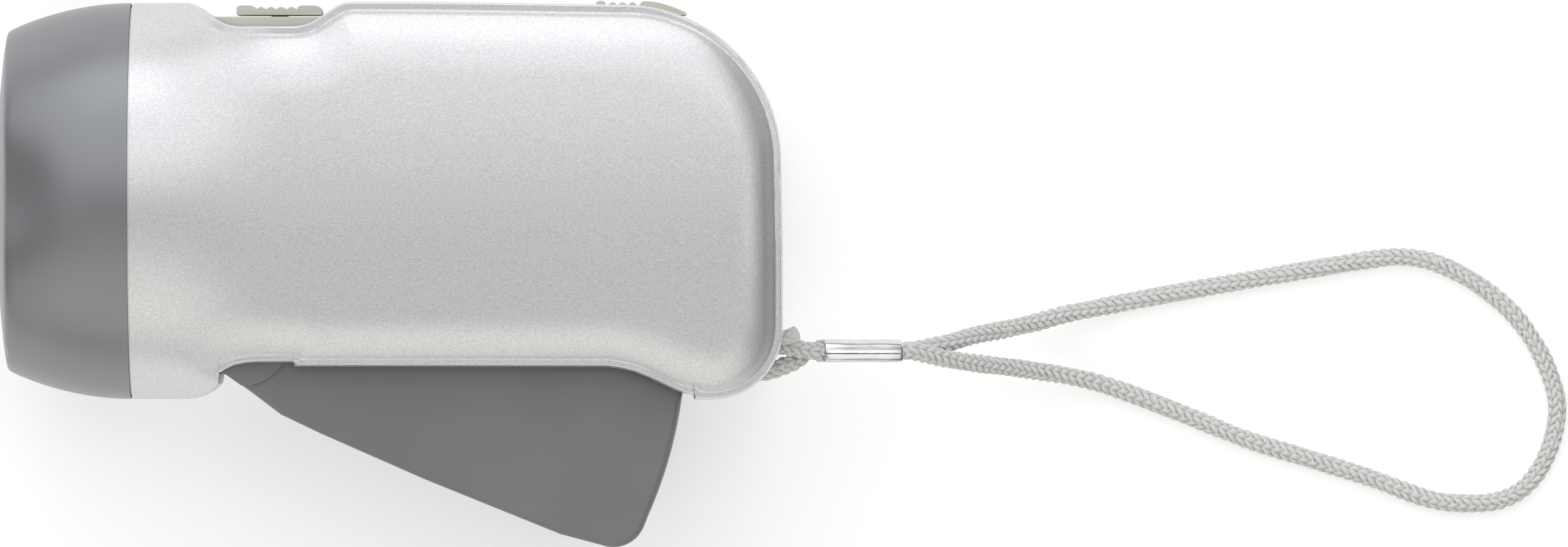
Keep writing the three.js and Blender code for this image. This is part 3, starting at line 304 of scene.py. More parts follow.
cord_points = (lower_end + [in_ferrule(a, -ferrule["offset"]) for a in through] + loop
               + [in_ferrule(a, ferrule["offset"]) for a in through[::-1]] + upper_end)
cord_route = smooth_route([(x, y, h - HALF_DEPTH) for x, y, h in cord_points])
cord_line, cord_run = even_steps(cord_route, CORD_STEP)

# %% [markdown]
# A round braid shows columns of slanted stitches that meet in a row of V shapes. It could be a bump
# texture, but the silhouette of a real braid is knobbly, so the stitches are raised in the mesh: each ring's
# radius follows a wave that slants one way on one side of a column and the other way on the other.

# %% The braided cord
RING = 40
COLUMNS = 4
STITCH = 1.25


def carried_frames(line):
    """Sideways directions that don't spin as they follow the line."""
    ahead = np.gradient(line, axis=0)
    ahead /= np.linalg.norm(ahead, axis=1)[:, None]
    side = np.zeros_like(line)
    side[0] = np.cross(ahead[0], (0, 0, 1.0))
    side[0] /= np.linalg.norm(side[0])
    for i in range(1, len(line)):
        flat = side[i - 1] - ahead[i] * np.dot(side[i - 1], ahead[i])
        side[i] = flat / np.linalg.norm(flat)
    return side, np.cross(ahead, side)


def braid_height(turn, run):
    """0 in a groove and 1 on the back of a stitch. turn is in whole turns round the cord."""
    column = (turn * COLUMNS) % 1.0
    across = np.abs(column - 0.5) * 2
    stitch = (run / STITCH + 0.55 * across + 0.5 * (np.floor(turn * COLUMNS) % 2)) % 1.0
    back = np.sin(np.pi * stitch) ** 0.8
    spine = 1 - 0.7 * np.exp(-((across / 0.2) ** 2))
    border = 1 - 0.5 * np.exp(-(((1 - across) / 0.16) ** 2))
    return back * spine * border


def braided_tube(name, line, run, radius, relief, twist=0.0):
    side, over = carried_frames(line)
    turns = np.arange(RING) / RING
    turn_grid, run_grid = np.meshgrid(turns, run)
    spun = (turn_grid + twist * run_grid / 100.0) * 2 * np.pi
    size = radius * 1.08 - relief * (1 - braid_height(turn_grid, run_grid))
    size *= 1 + 0.025 * np.sin(run_grid * 0.9) * np.sin(spun * 2 + 0.2 * run_grid)
    points = (line[:, None, :] + side[:, None, :] * (np.cos(spun) * size)[..., None]
              + over[:, None, :] * (np.sin(spun) * size)[..., None])
    return skin(name, [[tuple(p) for p in ring] for ring in points], sharp=75.0)


cord = braided_tube("braided_wrist_cord", cord_line, cord_run, CORD_RADIUS, 0.36, twist=1.2)
print("cord faces", len(cord.data.polygons))

# %% [markdown]
# The ferrule is a strip of plated steel folded round both runs and pinched: flat sides, rounded corners and
# an open seam on top, where the half nearer the switch slopes away and looks darker. It is a C-shaped
# section, run along the ferrule's axis, with its ends turned in a little.


# %% The crimped ferrule
def along_ferrule(across, over, along):
    """across goes towards the switch's side, and over goes up from the ferrule's own axis."""
    x, y, height = in_ferrule(along, over)
    return (x, y + across, height - HALF_DEPTH)


def ferrule_section(grow):
    """The strip's section in (across, over): outside one way, inside back, open at the top."""
    half, tall, wall, seam, gap = 1.5 + grow, 2.66 + grow, 0.27, -0.35, 0.07
    low_corner, corner = 0.62, 0.5
    outside = [(seam + gap, tall), (0.42, tall), (0.6, tall - 0.06),
               (half - 0.12, tall - 0.85), (half, tall - 1.15)]
    for cx, cy, start, radius in ((half - low_corner, low_corner - tall, 0, low_corner),
                                  (low_corner - half, low_corner - tall, -90, low_corner),
                                  (corner - half, tall - corner, 180, corner)):
        outside += arc(cx, cy, radius, start, start - 90, 6)
    outside.append((seam - gap, tall))
    inside = [(seam - gap, tall - wall)]
    reach, depth = half - wall, tall - wall
    for cx, cy, start in ((corner - reach, depth - corner, 90), (corner - reach, corner - depth, 180),
                          (reach - corner, corner - depth, -90)):
        inside += arc(cx, cy, corner, start, start + 90, 6)
    inside += [(reach, depth - 1.0), (reach - 0.12, depth - 0.72), (0.5, depth), (seam + gap, depth)]
    return outside + inside


turned_in = ((0.0, -0.12), (0.1, -0.03), (0.3, 0.0))
sections = [(along - half_ferrule, grow) for along, grow in turned_in]
sections += [(-2.0, 0.02), (0.5, -0.03), (3.0, 0.02)]
sections += [(half_ferrule - along, grow) for along, grow in turned_in[::-1]]
rings = [[along_ferrule(a, o, along) for a, o in ferrule_section(grow)] for along, grow in sections]
crimp = skin("crimped_ferrule", rings, sharp=40.0)

tag_route = smooth_route([(102.6, -18.0, 2.1), (103.6, -17.8, 2.7), (104.6, -17.3, 3.1)])
tag = braided_tube("frayed_cord_end", *even_steps(tag_route, 0.1), 0.95, 0.2)
print("ferrule and cord end made")

# %% Hand the cord and what is on it to the frame
def hand_over(piece, node, finish, body="torch"):
    """Hides the solid that a piece stands for, puts the piece on its body and gives it its slot."""
    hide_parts(node)
    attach(piece, body)
    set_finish(piece, finish)


hand_over(cord, "wrist_cord", "cord_fabric")
hand_over(crimp, "cord_ferrule", "ferrule_metal")
hand_over(tag, "cord_tag", "cord_fabric")

# %% [markdown]
# ## The shells
# Seen from the side, the body is a soft rectangle with a big round corner at the tail's top, a thumb scoop
# under the switch and a long opening below for the lever. Its outline is drawn first, one line below and
# one above, each as height against length.

# %% The side outline
SEAM = 17.4
HALF_HEIGHT = 26.0
LOW_CORNER = 9.3
HIGH_CORNER = 20.6
underside = (
    [(SEAM, -26.0), (24.6, -26.0), (25.8, -25.87), (26.9, -25.5), (27.9, -24.9), (28.5, -24.4),
     (28.94, -23.9), (29.1, -22.6), (29.8, -22.15), (31.1, -21.55), (32.6, -21.25), (33.9, -21.15),
     (38.85, -21.15), (38.95, -21.7), (79.9, -21.75), (81.6, -22.0), (83.3, -22.4), (85.3, -23.2),
     (87.3, -24.15), (88.7, -24.8), (89.9, -25.2), (91.05, -25.38), (91.2, -25.98), (93.5, -26.0)]
    + arc(LENGTH - LOW_CORNER, -HALF_HEIGHT + LOW_CORNER, LOW_CORNER, -90, 0, 26)[1:]
)
corner_x, corner_y = LENGTH - 0.2 - HIGH_CORNER, HALF_HEIGHT - 0.4 - HIGH_CORNER
topside = (
    [(SEAM, 26.0), (24.0, 26.0), (24.9, 25.93), (25.6, 25.75), (26.2, 25.5), (26.8, 25.1), (27.4, 24.65),
     (28.1, 24.1), (28.9, 23.6), (29.7, 23.2), (30.5, 22.95), (31.3, 22.82), (32.4, 22.78), (38.6, 22.78),
     (39.6, 22.85), (40.4, 23.02), (41.2, 23.35), (42.0, 23.8), (42.9, 24.4), (43.7, 24.95), (44.5, 25.45),
     (45.3, 25.8), (46.1, 25.95), (47.0, 26.0), (56.0, 25.97), (65.0, 25.85), (74.0, 25.7), (80.0, 25.62)]
    + [p for p in arc(corner_x, corner_y, HIGH_CORNER, 90, 0, 60) if p[0] > 82.1]
    + [(LENGTH, -6.0)]
)
outline = np.array(underside + topside[::-1])
print("outline of", len(outline), "points")

# %% [markdown]
# The side's height above the seam comes from how far a point lies inside that outline. Behind the head it
# is a crowned side that slopes down to a small step and a narrow flat rim, where the mould parts. At the
# head it is the oval of the lamp's ring, and a smooth step blends the two. A sculpted mesh could have the
# same shape, but a formula of the depth keeps the rim equally wide all the way round.


# %% The side's height
CROWN_RADIUS = 128.0
UPPER_EDGE = {"run": 9.0, "fall": 2.4, "rim": 1.15, "lip": 0.25, "dip": 0.2, "spread": 0.5}
LOWER_EDGE = {"run": 6.4, "fall": 1.9, "rim": 0.95, "lip": 0.35}
LOWER_STEP = {"dip": 0.12, "spread": 0.5}
MORE_AT_TAIL = {"dip": 0.16, "spread": 1.2}


def smooth(value):
    t = np.clip(value, 0, 1)
    return t * t * (3 - 2 * t)


def depth_inside(x, y):
    best = np.full(np.shape(x), 1e9)
    for (ax, ay), (bx, by) in zip(outline[:-1], outline[1:]):
        dx, dy = bx - ax, by - ay
        span = dx * dx + dy * dy
        if span < 1e-9:
            continue
        t = np.clip(((x - ax) * dx + (y - ay) * dy) / span, 0, 1)
        best = np.minimum(best, np.hypot(x - ax - t * dx, y - ay - t * dy))
    return best


def edge_drop(depth, run, fall, rim, lip, dip, spread):
    """From the inside to the outline: a gentle slope, a step down, a narrow flat rim and a round lip."""
    slope = fall * (1 - np.clip((depth - rim) / (run - rim), 0, 1)) ** 2
    step = dip * (1 - smooth((depth - rim) / spread))
    into_lip = np.clip((lip - depth) / lip, 0, 1)
    return slope + step + 5.0 * lip * (1 - np.sqrt(1 - into_lip**2))


def side_height(x, y):
    crown = HALF_DEPTH - y**2 / (2 * CROWN_RADIUS)
    high = smooth(y / 15.0) * (1 - smooth((x - 82.0) / 16.0))
    depth = depth_inside(x, y)
    tail = smooth((x - 90.0) / 8.0)
    upper = edge_drop(depth, **UPPER_EDGE)
    step = {key: size + MORE_AT_TAIL[key] * tail for key, size in LOWER_STEP.items()}
    lower = edge_drop(depth, **LOWER_EDGE, **step)
    level_rim = np.maximum(UPPER_EDGE["rim"] - depth, 0) * np.abs(y) / CROWN_RADIUS
    handle = crown + level_rim - (upper * high + lower * (1 - high))
    oval = HALF_DEPTH * np.sqrt(np.maximum(0, 1 - (y / HALF_HEIGHT) ** 2))
    share = smooth((x - SEAM) / 21.0)
    return oval * (1 - share) + handle * share


# %% [markdown]
# The form is sampled in rings across the torch. Rows that keep a fixed distance from the edge follow the step
# and the rim, and they lie close together there. Evenly shared rows would cross the rim and leave ripples.

# %% Half of the body's form, as rings across it
STATION_STEP = 0.5
LEAST_STEP = 0.045
EDGE_MARKS = np.array([0, 0.03, 0.09, 0.17, 0.26, 0.38, 0.52, 0.7, 0.9, 1.08, 1.2, 1.32, 1.46, 1.62, 1.8,
                       2.05, 2.4, 2.9, 3.6, 4.5, 5.5])


def stations(start, end):
    marks = set(np.arange(start, end, STATION_STEP).tolist()) | {start, end}
    marks |= {p[0] for p in underside + topside if start < p[0] < end}
    marks |= {end - 6.0 * (1 - cos(t)) for t in np.linspace(0.02, 1.2, 16)}
    kept = []
    for x in sorted(marks):
        if not kept or x - kept[-1] > LEAST_STEP:
            kept.append(x)
    kept[-1] = end
    return kept


def half_form(name, side, inset, middle, near, start):
    """side is 1 or -1; middle counts the evenly shared rows; near is where the form begins, off the seam."""
    rings = []
    low_x, low_y = zip(*underside)
    high_x, high_y = zip(*topside)
    for x in stations(start, LENGTH - inset):
        low, high = np.interp(x, low_x, low_y) + inset, np.interp(x, high_x, high_y) - inset
        inner = np.linspace(low + EDGE_MARKS[-1], high - EDGE_MARKS[-1], middle)[1:-1]
        y = np.concatenate([low + EDGE_MARKS, inner, high - EDGE_MARKS[::-1]])
        least = near + 0.02 + 0.01 * (y - low) / (high - low)
        z = np.maximum(side_height(np.full_like(y, x), y) - inset, least)
        ring = [(x, float(b), side * float(c)) for b, c in zip(y, z)]
        rings.append([(x, float(low), side * near)] + ring + [(x, float(high), side * near)])
    return skin(name, rings)


# %% [markdown]
# Each shell is an outer form with an inner form, one wall smaller, taken out of it. Then come the openings:
# the lever's slot, the switch's pocket, the lock's channel, the cord's notch and the screws' recesses.

# %% The two shells
WALL = 1.8
HALF_GAP = 0.15
PIVOT = (32.2, -18.0)
HALF_SLOT = 15.3
OUTSIDE = 30.0
lever_room = arc(*PIVOT, 5.6, 180, 236, 12) + [(29.2, -OUTSIDE), (91.0, -OUTSIDE), (91.0, PIVOT[1])]
openings = {  # from x to x, from y to y, and half the width
    "pocket": (27.7, 43.0, 22.3, OUTSIDE, 7.3), "box": (30.4, 43.0, 15.0, 23.0, 4.3),
    "channel": (75.15, 92.7, 24.05, OUTSIDE, 5.3), "stem_slot": (75.35, 82.3, 19.0, 25.0, 1.5),
    "notch": (97.3, 110.0, -24.6, -17.3, 1.75),
}
screw_places = [(SEAM + 4.4, -10.5), (LENGTH - 5.3, 2.0), (56.998, 21.2)]
SCREW_SEAT, SCREW_HEAD = 3.2, 1.6
RECESS_RADIUS, RECESS_SPARE = 2.5, 0.15


def side_at(x, y):
    return float(side_height(np.array([x]), np.array([y]))[0])


def shell_cutters(side):
    cutters = [prism("slot", lever_room, -HALF_SLOT, HALF_SLOT)]
    cutters += [prism(name, block_outline(*box), -half, half) for name, (*box, half) in openings.items()]
    if side < 0:
        for x, y in screw_places:
            floor = SCREW_SEAT - SCREW_HEAD + RECESS_SPARE - side_at(x, y)
            cutters.append(prism("recess", disc_outline(x, y, RECESS_RADIUS), -OUTSIDE, floor))
    return cutters


def make_shell(side, name):
    shell = half_form(name, side, 0.0, 34, HALF_GAP, SEAM)
    hollow = half_form("hollow", side, WALL, 12, -0.5, SEAM - 0.6)
    shell = combine(shell, [hollow] + shell_cutters(side), sharp=30.0)
    # Weighted by area, so that the narrow rim doesn't tilt the shading of the broad side
    weighted = shell.modifiers.new("even shading", "WEIGHTED_NORMAL")
    weighted.keep_sharp = True
    weighted.weight = 5
    return shell


left = make_shell(1, "left_shell_skin")
right = make_shell(-1, "right_shell_skin")
hand_over(left, "left_shell", "shell")
hand_over(right, "right_shell", "shell")
print("shells", len(left.data.polygons), len(right.data.polygons), "faces")

# %% [markdown]
# The neck that the lamp's ring is pushed over closes the thin gap behind the ring. It is a plain oval tube,
# so it is one section carried round the lamp's axis.

# %% The neck inside the ring
def turned(name, profile, point_at, steps=96, sharp=SHARP):
    """Carries a closed profile round; point_at gives a point for two measures of it and an angle."""
    turns = [2 * pi * step / steps for step in range(steps)]
    rings = [[point_at(*measures, t) for measures in profile] for t in turns]
    return skin(name, rings, closed=True, sharp=sharp)


def oval_point(x, radius, t):
    return x, radius * cos(t), radius * (HALF_DEPTH / HALF_HEIGHT) * sin(t)


neck_profile = [(12.6, 22.3), (12.6, 23.9), (17.2, 23.9), (17.2, 25.5), (18.6, 25.5), (18.6, 22.3)]
neck = turned("lamp_neck", neck_profile, oval_point, steps=128)
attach(neck, "torch")
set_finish(neck, "shell")
print("neck faces", len(neck.data.polygons))

# %% [markdown]
# ## The lamp
# The grey ring is an oval dome with a shallow thumb dent in each side. Cut with a bowl, the dent would have
# a sharp rim. Here it is pressed: each corner moves inwards by a bell-shaped amount, which gives the soft
# shading of the photograph.

# %% The lamp's ring
RING_SHARE = HALF_DEPTH / 26.2  # a little flatter than the shells, so that its edge lies just inside theirs
ROUND_TO, OVAL_AFTER = 13.0, 8.0
DENT_DEPTH, DENT_LENGTH, DENT_WIDTH, DENT_MIDDLE = 2.6, 5.6, 6.6, 1.0
DENT_FROM, DENT_RAMP = 8, 6


def pressed(x, y, z):
    """Moves the side inwards by a smooth hump-shaped amount, deepest at the mouth."""
    if abs(z) < DENT_FROM:
        return z
    depth = DENT_DEPTH * exp(-((x / DENT_LENGTH) ** 2) - ((y - DENT_MIDDLE) / DENT_WIDTH) ** 2)
    return copysign(abs(z) - depth * min((abs(z) - DENT_FROM) / DENT_RAMP, 1), z)


def ring_point(x, radius, t):
    """Round at the mouth, oval from the shoulder outwards, and pressed in."""
    share = 1 + (RING_SHARE - 1) * float(smooth(np.array((radius - ROUND_TO) / OVAL_AFTER)))
    y, z = radius * cos(t), radius * share * sin(t)
    return x, y, pressed(x, y, z)


CURVE, CURVE_START, CURVE_STEPS, SEAM_GAP = 38.0, 1.6, 32, 0.25
ring_profile = [(0.35, 12.5), (0.12, 12.75), (0.0, 13.2), (0.03, 14.2), (0.14, 15.6), (0.3, 17.2),
                (0.46, 18.9), (0.62, 20.2), (0.8, 21.3), (0.92, 21.85), (1.08, 22.16), (1.34, 22.4)]
for i in range(1, CURVE_STEPS + 1):
    x = CURVE_START + (SEAM - SEAM_GAP - CURVE_START) * i / CURVE_STEPS
    ring_profile.append((x, HALF_HEIGHT - CURVE + sqrt(CURVE**2 - (SEAM - x) ** 2)))
ring_profile += [(17.2, 25.85), (17.2, 24.6), (17.1, 24.2), (12.3, 24.2), (6.2, 20.4), (6.0, 16.0),
                 (5.0, 14.6), (1.4, 14.5), (1.3, 12.35)]
bezel = turned("lamp_ring", ring_profile, ring_point, steps=192, sharp=38.0)
hand_over(bezel, "head_bezel", "grey_plastic")
print("lamp ring faces", len(bezel.data.polygons))

# %% [markdown]
# Behind the ring sit a clear lens, a bright reflector and three light-emitting diodes, all turned forms. A
# diode is a clear dome with a yellow chip, which shows through it.


# %% Lens, reflector and diodes
def about(y, z):
    """A form turned about a line along the torch."""
    return lambda x, r, t: (x, y + r * cos(t), z + r * sin(t))


TINY = 0.01
BOWL_RADIUS, BOWL_DEPTH, BOWL_BACK = 13.2, 7.9, 11.0
DIODE_RADIUS, DIODE_TIP, DIODE_CIRCLE = 2.5, 5.4, 4.3
lens_profile = [(0.42, TINY), (0.44, 6.0), (0.52, 11.6), (0.66, 12.0), (1.6, 12.1), (1.6, 14.2),
                (2.8, 14.2), (2.8, 12.0), (2.1, 11.6), (1.95, 6.0), (1.92, TINY)]
lens = turned("clear_lens", lens_profile, about(0.0, 0.0))
bowl = [(BOWL_BACK - BOWL_DEPTH * (r / BOWL_RADIUS) ** 2.2 * 0.985, r)
        for r in np.linspace(BOWL_RADIUS, 0.9, 22)]
bowl_profile = [(3.1, 13.3), (3.1, 14.2), (3.9, 14.2), (3.9, 13.9)]
bowl_profile += [(x + 0.1, r + 0.65) for x, r in bowl[2:]] + bowl[::-1] + [(3.3, 13.25)]
reflector = turned("bright_reflector", bowl_profile, about(0.0, 0.0), steps=128, sharp=40.0)
diode_profile = [(DIODE_TIP + DIODE_RADIUS * (1 - cos(t)), max(DIODE_RADIUS * sin(t), TINY))
                 for t in (radians(a) for a in range(0, 91, 9))]
diode_profile += [(10.1, DIODE_RADIUS), (10.1, 2.9), (11.0, 2.9), (11.0, TINY)]
chip_profile = [(8.6, TINY), (8.6, 0.7), (8.9, 1.0), (10.6, 1.0), (10.6, TINY)]
for i, angle in enumerate((90, 210, 330)):
    y, z = polar(0, 0, DIODE_CIRCLE, angle)
    diode = turned(f"diode_{i + 1}", diode_profile, about(y, z), steps=40)
    chip = turned(f"diode_chip_{i + 1}", chip_profile, about(y, z), steps=20)
    hand_over(diode, f"led_{i + 1}", "led_clear")
    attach(chip, "torch")
    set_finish(chip, "led_clear")
hand_over(lens, "lens", "lens_clear")
hand_over(reflector, "reflector", "mirror_metal")
print("lamp made")

# %% [markdown]
# ## The squeeze lever
# The lever is a grey moulded channel, open towards the body. It is drawn shut, about its pivot, and swung
# open by 22 degrees. A wide bevel on its outer edges gives the pale line of light that runs along them.

# %% The lever's outline
OPEN = 22.0
REACH, TOE, FRONT = 57.8, 4.3, 5.25  # the far end's, the toe's and the front's radius
HALF_LEVER = 14.6
LEVER_WALL = 1.8


def swing(points):
    c, s = cos(radians(-OPEN)), sin(radians(-OPEN))
    return [(PIVOT[0] + x * c - y * s, PIVOT[1] + x * s + y * c) for x, y in points]


def lever_outline(inset, closing):
    """The side of the shut lever about its pivot, drawn in by inset; closing finishes it at the top."""
    return (
        arc(0, 0, FRONT - inset, 180, 268, 14)
        + [(3.5, inset - 6.1), (8.3, inset - 7.4), (14.0, inset - 7.75), (28.9, inset - 8.2),
           (48.0, inset - 8.2)]
        + arc(REACH - TOE, TOE - 7.5, TOE - inset, -88, -4, 12)
        + arc(0, 0, REACH - inset, -2, 19.4, 12) + closing
    )


# %% The lever's channel, hub and toothed arm
lever_side = swing(lever_outline(0, arc(0, 0, FRONT, 70, 175, 12)))
lever = soft_prism("grey_squeeze_lever", lever_side, -HALF_LEVER, HALF_LEVER, 0.9)
inside = swing(lever_outline(LEVER_WALL, [(REACH - LEVER_WALL, REACH), (LEVER_WALL - FRONT, REACH)]))
hollow = prism("hollow", inside, LEVER_WALL - HALF_LEVER, HALF_LEVER - LEVER_WALL)
window = prism("window", swing(block_outline(53.5, 59.8, 5.1, 13.1)), -3.6, 3.6)
lever = combine(lever, [hollow, window])
hubs = []
for low, high in ((13.0, 15.1), (-15.1, -13.0)):
    hub = soft_prism("hub", swing(disc_outline(0, 0, 6.2, 64)), low, high, 0.22)
    guard = prism("guard", swing(lever_outline(-0.02, arc(0, 0, 6.4, 70, 176, 24))), -16, 16)
    hubs.append(combine(hub, [guard], "INTERSECT"))
lever = combine(lever, hubs, "UNION")


def gear_outline(teeth, module, turn, first, count):
    """A run of straight-sided teeth; each has its foot and its tip at a share of the pitch."""
    pitch = 360 / teeth
    root, tip = (teeth / 2 - 1.15) * module, (teeth / 2 + 0.85) * module
    return [polar(0, 0, radius, turn + i * pitch + share * pitch) for i in range(first, first + count)
            for radius, share in ((root, -0.27), (tip, -0.1), (tip, 0.1), (root, 0.27))]


toothed_arm = [(0, 0)] + gear_outline(teeth=60, module=0.8, turn=50 + OPEN, first=-5, count=7)
inner = [prism("barrel", swing(disc_outline(0, 0, 4.6)), *ends) for ends in ((-13.2, -3.6), (9.4, 13.2))]
inner.append(prism("toothed_arm", swing(toothed_arm), -7.0, -4.5))
lever = combine(lever, inner, "UNION")
lever = combine(lever, [prism("bore", swing(disc_outline(0, 0, 1.8)), -20, 20)], sharp=38.0)
hand_over(lever, "squeeze_lever", "grey_plastic", "lever")
print("lever faces", len(lever.data.polygons))

# %% [markdown]
# A torsion spring round the lever's pin pushes the lever open. Were it rigid, its lower leg would cut
# through the lever as that closes. Here it is one wire made at the open pose: the upper leg runs along the
# torch and the lower leg along the lever.

# %% The lever's spring
SPRING_TOP, SPRING_FOOT, TURNS = 8.4, -2.6, 5
COIL_RADIUS, WIRE_RADIUS, STEPS_ROUND = 2.7, 0.4, 24
FRAME_LEG, LEVER_LEG = (12.0, 41.0), (13.5, -33.3)  # how long, and in which direction
coil_start, coil_end = 41.0 - 90, 10.0 - OPEN - 90 - 360 * TURNS


def leg(leaves, length, direction, height):
    """Four points along a leg, from the coil outwards."""
    foot = polar(*PIVOT, COIL_RADIUS, leaves)
    return [(*polar(*foot, length * share, direction), height) for share in (0.25, 0.5, 0.75, 1)]


spring_line = leg(coil_start, *FRAME_LEG, SPRING_TOP)[::-1]
for share in (i / (STEPS_ROUND * TURNS) for i in range(STEPS_ROUND * TURNS + 1)):
    spring_line.append((*polar(*PIVOT, COIL_RADIUS, coil_start + (coil_end - coil_start) * share),
                        SPRING_TOP + (SPRING_FOOT - SPRING_TOP) * share))
spring_line += leg(coil_end, *LEVER_LEG, SPRING_FOOT)
wire_line, _ = even_steps(np.array(spring_line), 0.3)
wire_turns = [2 * pi * i / 12 for i in range(12)]
wire_rings = [[tuple(p + (s * cos(t) + o * sin(t)) * WIRE_RADIUS) for t in wire_turns]
              for p, s, o in zip(wire_line, *carried_frames(wire_line))]
spring = skin("lever_spring", wire_rings, sharp=60.0)
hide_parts("return_spring")
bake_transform(spring)
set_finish(spring, "steel")
print("spring of", len(wire_line), "rings")

# %% [markdown]
# ## The light switch
# A pale plate lies in the scoop, and on it a ribbed knob slides. The ribs are read from the photograph:
# four small waves between a raised block at each end.

# %% Switch plate and knob
plate = soft_prism("switch_plate", block_outline(28.0, 42.7, 22.6, 24.15), -7.0, 7.0, 0.25)
plate = combine(plate, [prism("hole", block_outline(32.3, 38.1, 20.0, 26.0), -1.4, 1.4)])


def wave(points, start, end, top, valley, crests):
    """Adds a row of rounded crests from start to end."""
    step = (end - start) / crests
    for i in range(crests):
        for k in range(9):
            t = k / 8
            y = valley + (top - valley) * sin(pi * t) ** 0.9
            points.append((start + step * (i + t), y))
    return points


KNOB_FOOT = 24.35
knob_line = [(31.1, KNOB_FOOT), (31.1, 25.3), (31.25, 25.52), (31.6, 25.64), (32.9, 25.64), (33.35, 25.5)]
knob_line = wave(knob_line, 33.65, 38.95, 25.46, 25.05, 4)
knob_line += [(39.15, 25.42), (39.5, 25.64), (41.4, 25.64), (41.9, 25.5), (42.2, 25.2), (42.3, 24.8),
              (42.3, KNOB_FOOT)]
knob = soft_prism("ribbed_switch_knob", knob_line[::-1], -5.6, 5.6, 0.3, 3)
knob = combine(knob, [prism("stem", block_outline(35.6, 37.8, 20.8, 24.6), -1.1, 1.1)], "UNION")
hand_over(plate, "light_switch_plate", "switch_plastic")
hand_over(knob, "light_switch_knob", "switch_plastic", "light_switch")
print("switch made")

# %% [markdown]
# ## The lever's lock
# A slider at the rear of the top edge locks the lever shut. It has a block and three ribs for the thumb, and
# a thin tongue that follows the torch's round corner.

# %% The lock's slider
lock_line = [(78.3, 24.35), (78.3, 26.05), (78.45, 26.24), (79.2, 26.26), (79.4, 26.1), (79.55, 25.75)]
lock_line = wave(lock_line, 79.8, 83.7, 26.08, 25.6, 3)
lock_line += [(83.95, 25.7), (84.25, 26.15), (84.6, 26.22), (85.6, 26.16), (86.6, 25.98), (87.6, 25.7),
              (88.6, 25.36), (89.5, 24.98), (90.1, 24.68), (90.1, 24.36)]
lock = soft_prism("lock_slider_skin", lock_line[::-1], -5.0, 5.0, 0.16, 3)
lock = combine(lock, [prism("stem", block_outline(78.6, 81.4, 19.1, 24.7), -1.2, 1.2)], "UNION")
hand_over(lock, "lock_slider", "lock_plastic", "lock")
print("lock made")

# %% [markdown]
# ## Screws
# Three screws go in from the side that the torch lies on. Each has a domed head with a cross recess, so the
# underside looks right when the torch is turned over.


# %% The shell screws
def upright(x, y):
    """A form turned about a line square to the table."""
    return lambda r, z, t: (x + r * cos(t), y + r * sin(t), z)


for i, (x, y) in enumerate(screw_places):
    seat = SCREW_SEAT - side_at(x, y)
    head = seat - SCREW_HEAD
    profile = [(TINY, head), (1.2, head + 0.06), (1.8, head + 0.25), (2.1, head + 0.6), (2.2, seat - 0.3),
               (2.15, seat), (1.1, seat), (1.1, 5.6), (0.7, 6.0), (TINY, 6.0)]
    screw = turned(f"cross_head_screw_{i + 1}", profile, upright(x, y), steps=32)
    for wide, tall in ((1.25, 0.28), (0.28, 1.25)):
        arms = block_outline(x - wide, x + wide, y - tall, y + tall)
        screw = combine(screw, [prism("cross", arms, head - 1, head + 0.75)])
    hand_over(screw, f"shell_screw_{i + 1}", "steel")
print("screws made")

# %% [markdown]
# ## Finishes
# A material is a tree of nodes, and each input of a node is fed by another node or by a plain value. These
# helpers make the nodes that come back again and again.


# %% Nodes that come back again
def new(tree, kind):
    return tree.nodes.new("ShaderNode" + kind)


def feed(tree, socket, value):
    if isinstance(value, bpy.types.NodeSocket):
        tree.links.new(value, socket)
    else:
        socket.default_value = value


def feed_all(tree, node, **values):
    """Feeds a node's inputs by their labels, with _ for a space."""
    for label, value in values.items():
        feed(tree, node.inputs[label.replace("_", " ")], value)
    return node


def calculate(tree, kind, first, second, clamp=False):
    step = new(tree, "Math")
    step.operation = kind
    step.use_clamp = clamp
    feed(tree, step.inputs[0], first)
    feed(tree, step.inputs[1], second)
    return step.outputs["Value"]


def spread(tree, shape="LINEAR", **ends):
    node = feed_all(tree, new(tree, "MapRange"), **ends)
    node.interpolation_type = shape
    return node.outputs["Result"]


def noise(tree, where, scale, detail=2.0, roughness=0.5):
    texture = feed_all(tree, new(tree, "TexNoise"), Vector=where, Scale=scale, Detail=detail)
    return feed_all(tree, texture, Roughness=roughness).outputs["Fac"]


def stretched(tree, stretch):
    """Where a point lies on its own object, drawn out."""
    where = new(tree, "TexCoord").outputs["Object"]
    return feed_all(tree, new(tree, "Mapping"), Vector=where, Scale=stretch).outputs["Vector"]


def linear(*levels):
    """Picture levels from 0 to 255 as the linear colour that Blender works in."""
    shares = [v / 255 for v in levels]
    return tuple(v / 12.92 if v <= 0.04 else ((v + 0.055) / 1.055) ** 2.4 for v in shares) + (1.0,)


def mix_colors(tree, factor, first, second, blend="MIX"):
    mixed = new(tree, "Mix")
    mixed.data_type = "RGBA"
    mixed.blend_type = blend
    for number, value in ((0, factor), (6, first), (7, second)):
        feed(tree, mixed.inputs[number], value)
    return mixed.outputs[2]


def two_tone(tree, factor, dark, light, low=0.3, high=0.7):
    """Goes from dark to light, given in picture levels, while the factor goes from low to high."""
    ramp = feed_all(tree, new(tree, "ValToRGB"), Fac=factor)
    for element, position, levels in zip(ramp.color_ramp.elements, (low, high), (dark, light)):
        element.position = position
        element.color = linear(*levels)
    return ramp.outputs["Color"]


print("mid grey is", round(linear(128)[0], 3))

# %% [markdown]
# Effects that several finishes use are node groups with named inputs, built once. The first is a fine grain:
# the orange-peel of sprayed paint or the spark-eroded grain of moulded plastic. It puts out the grain, for
# colour and bump, and broad blotches.


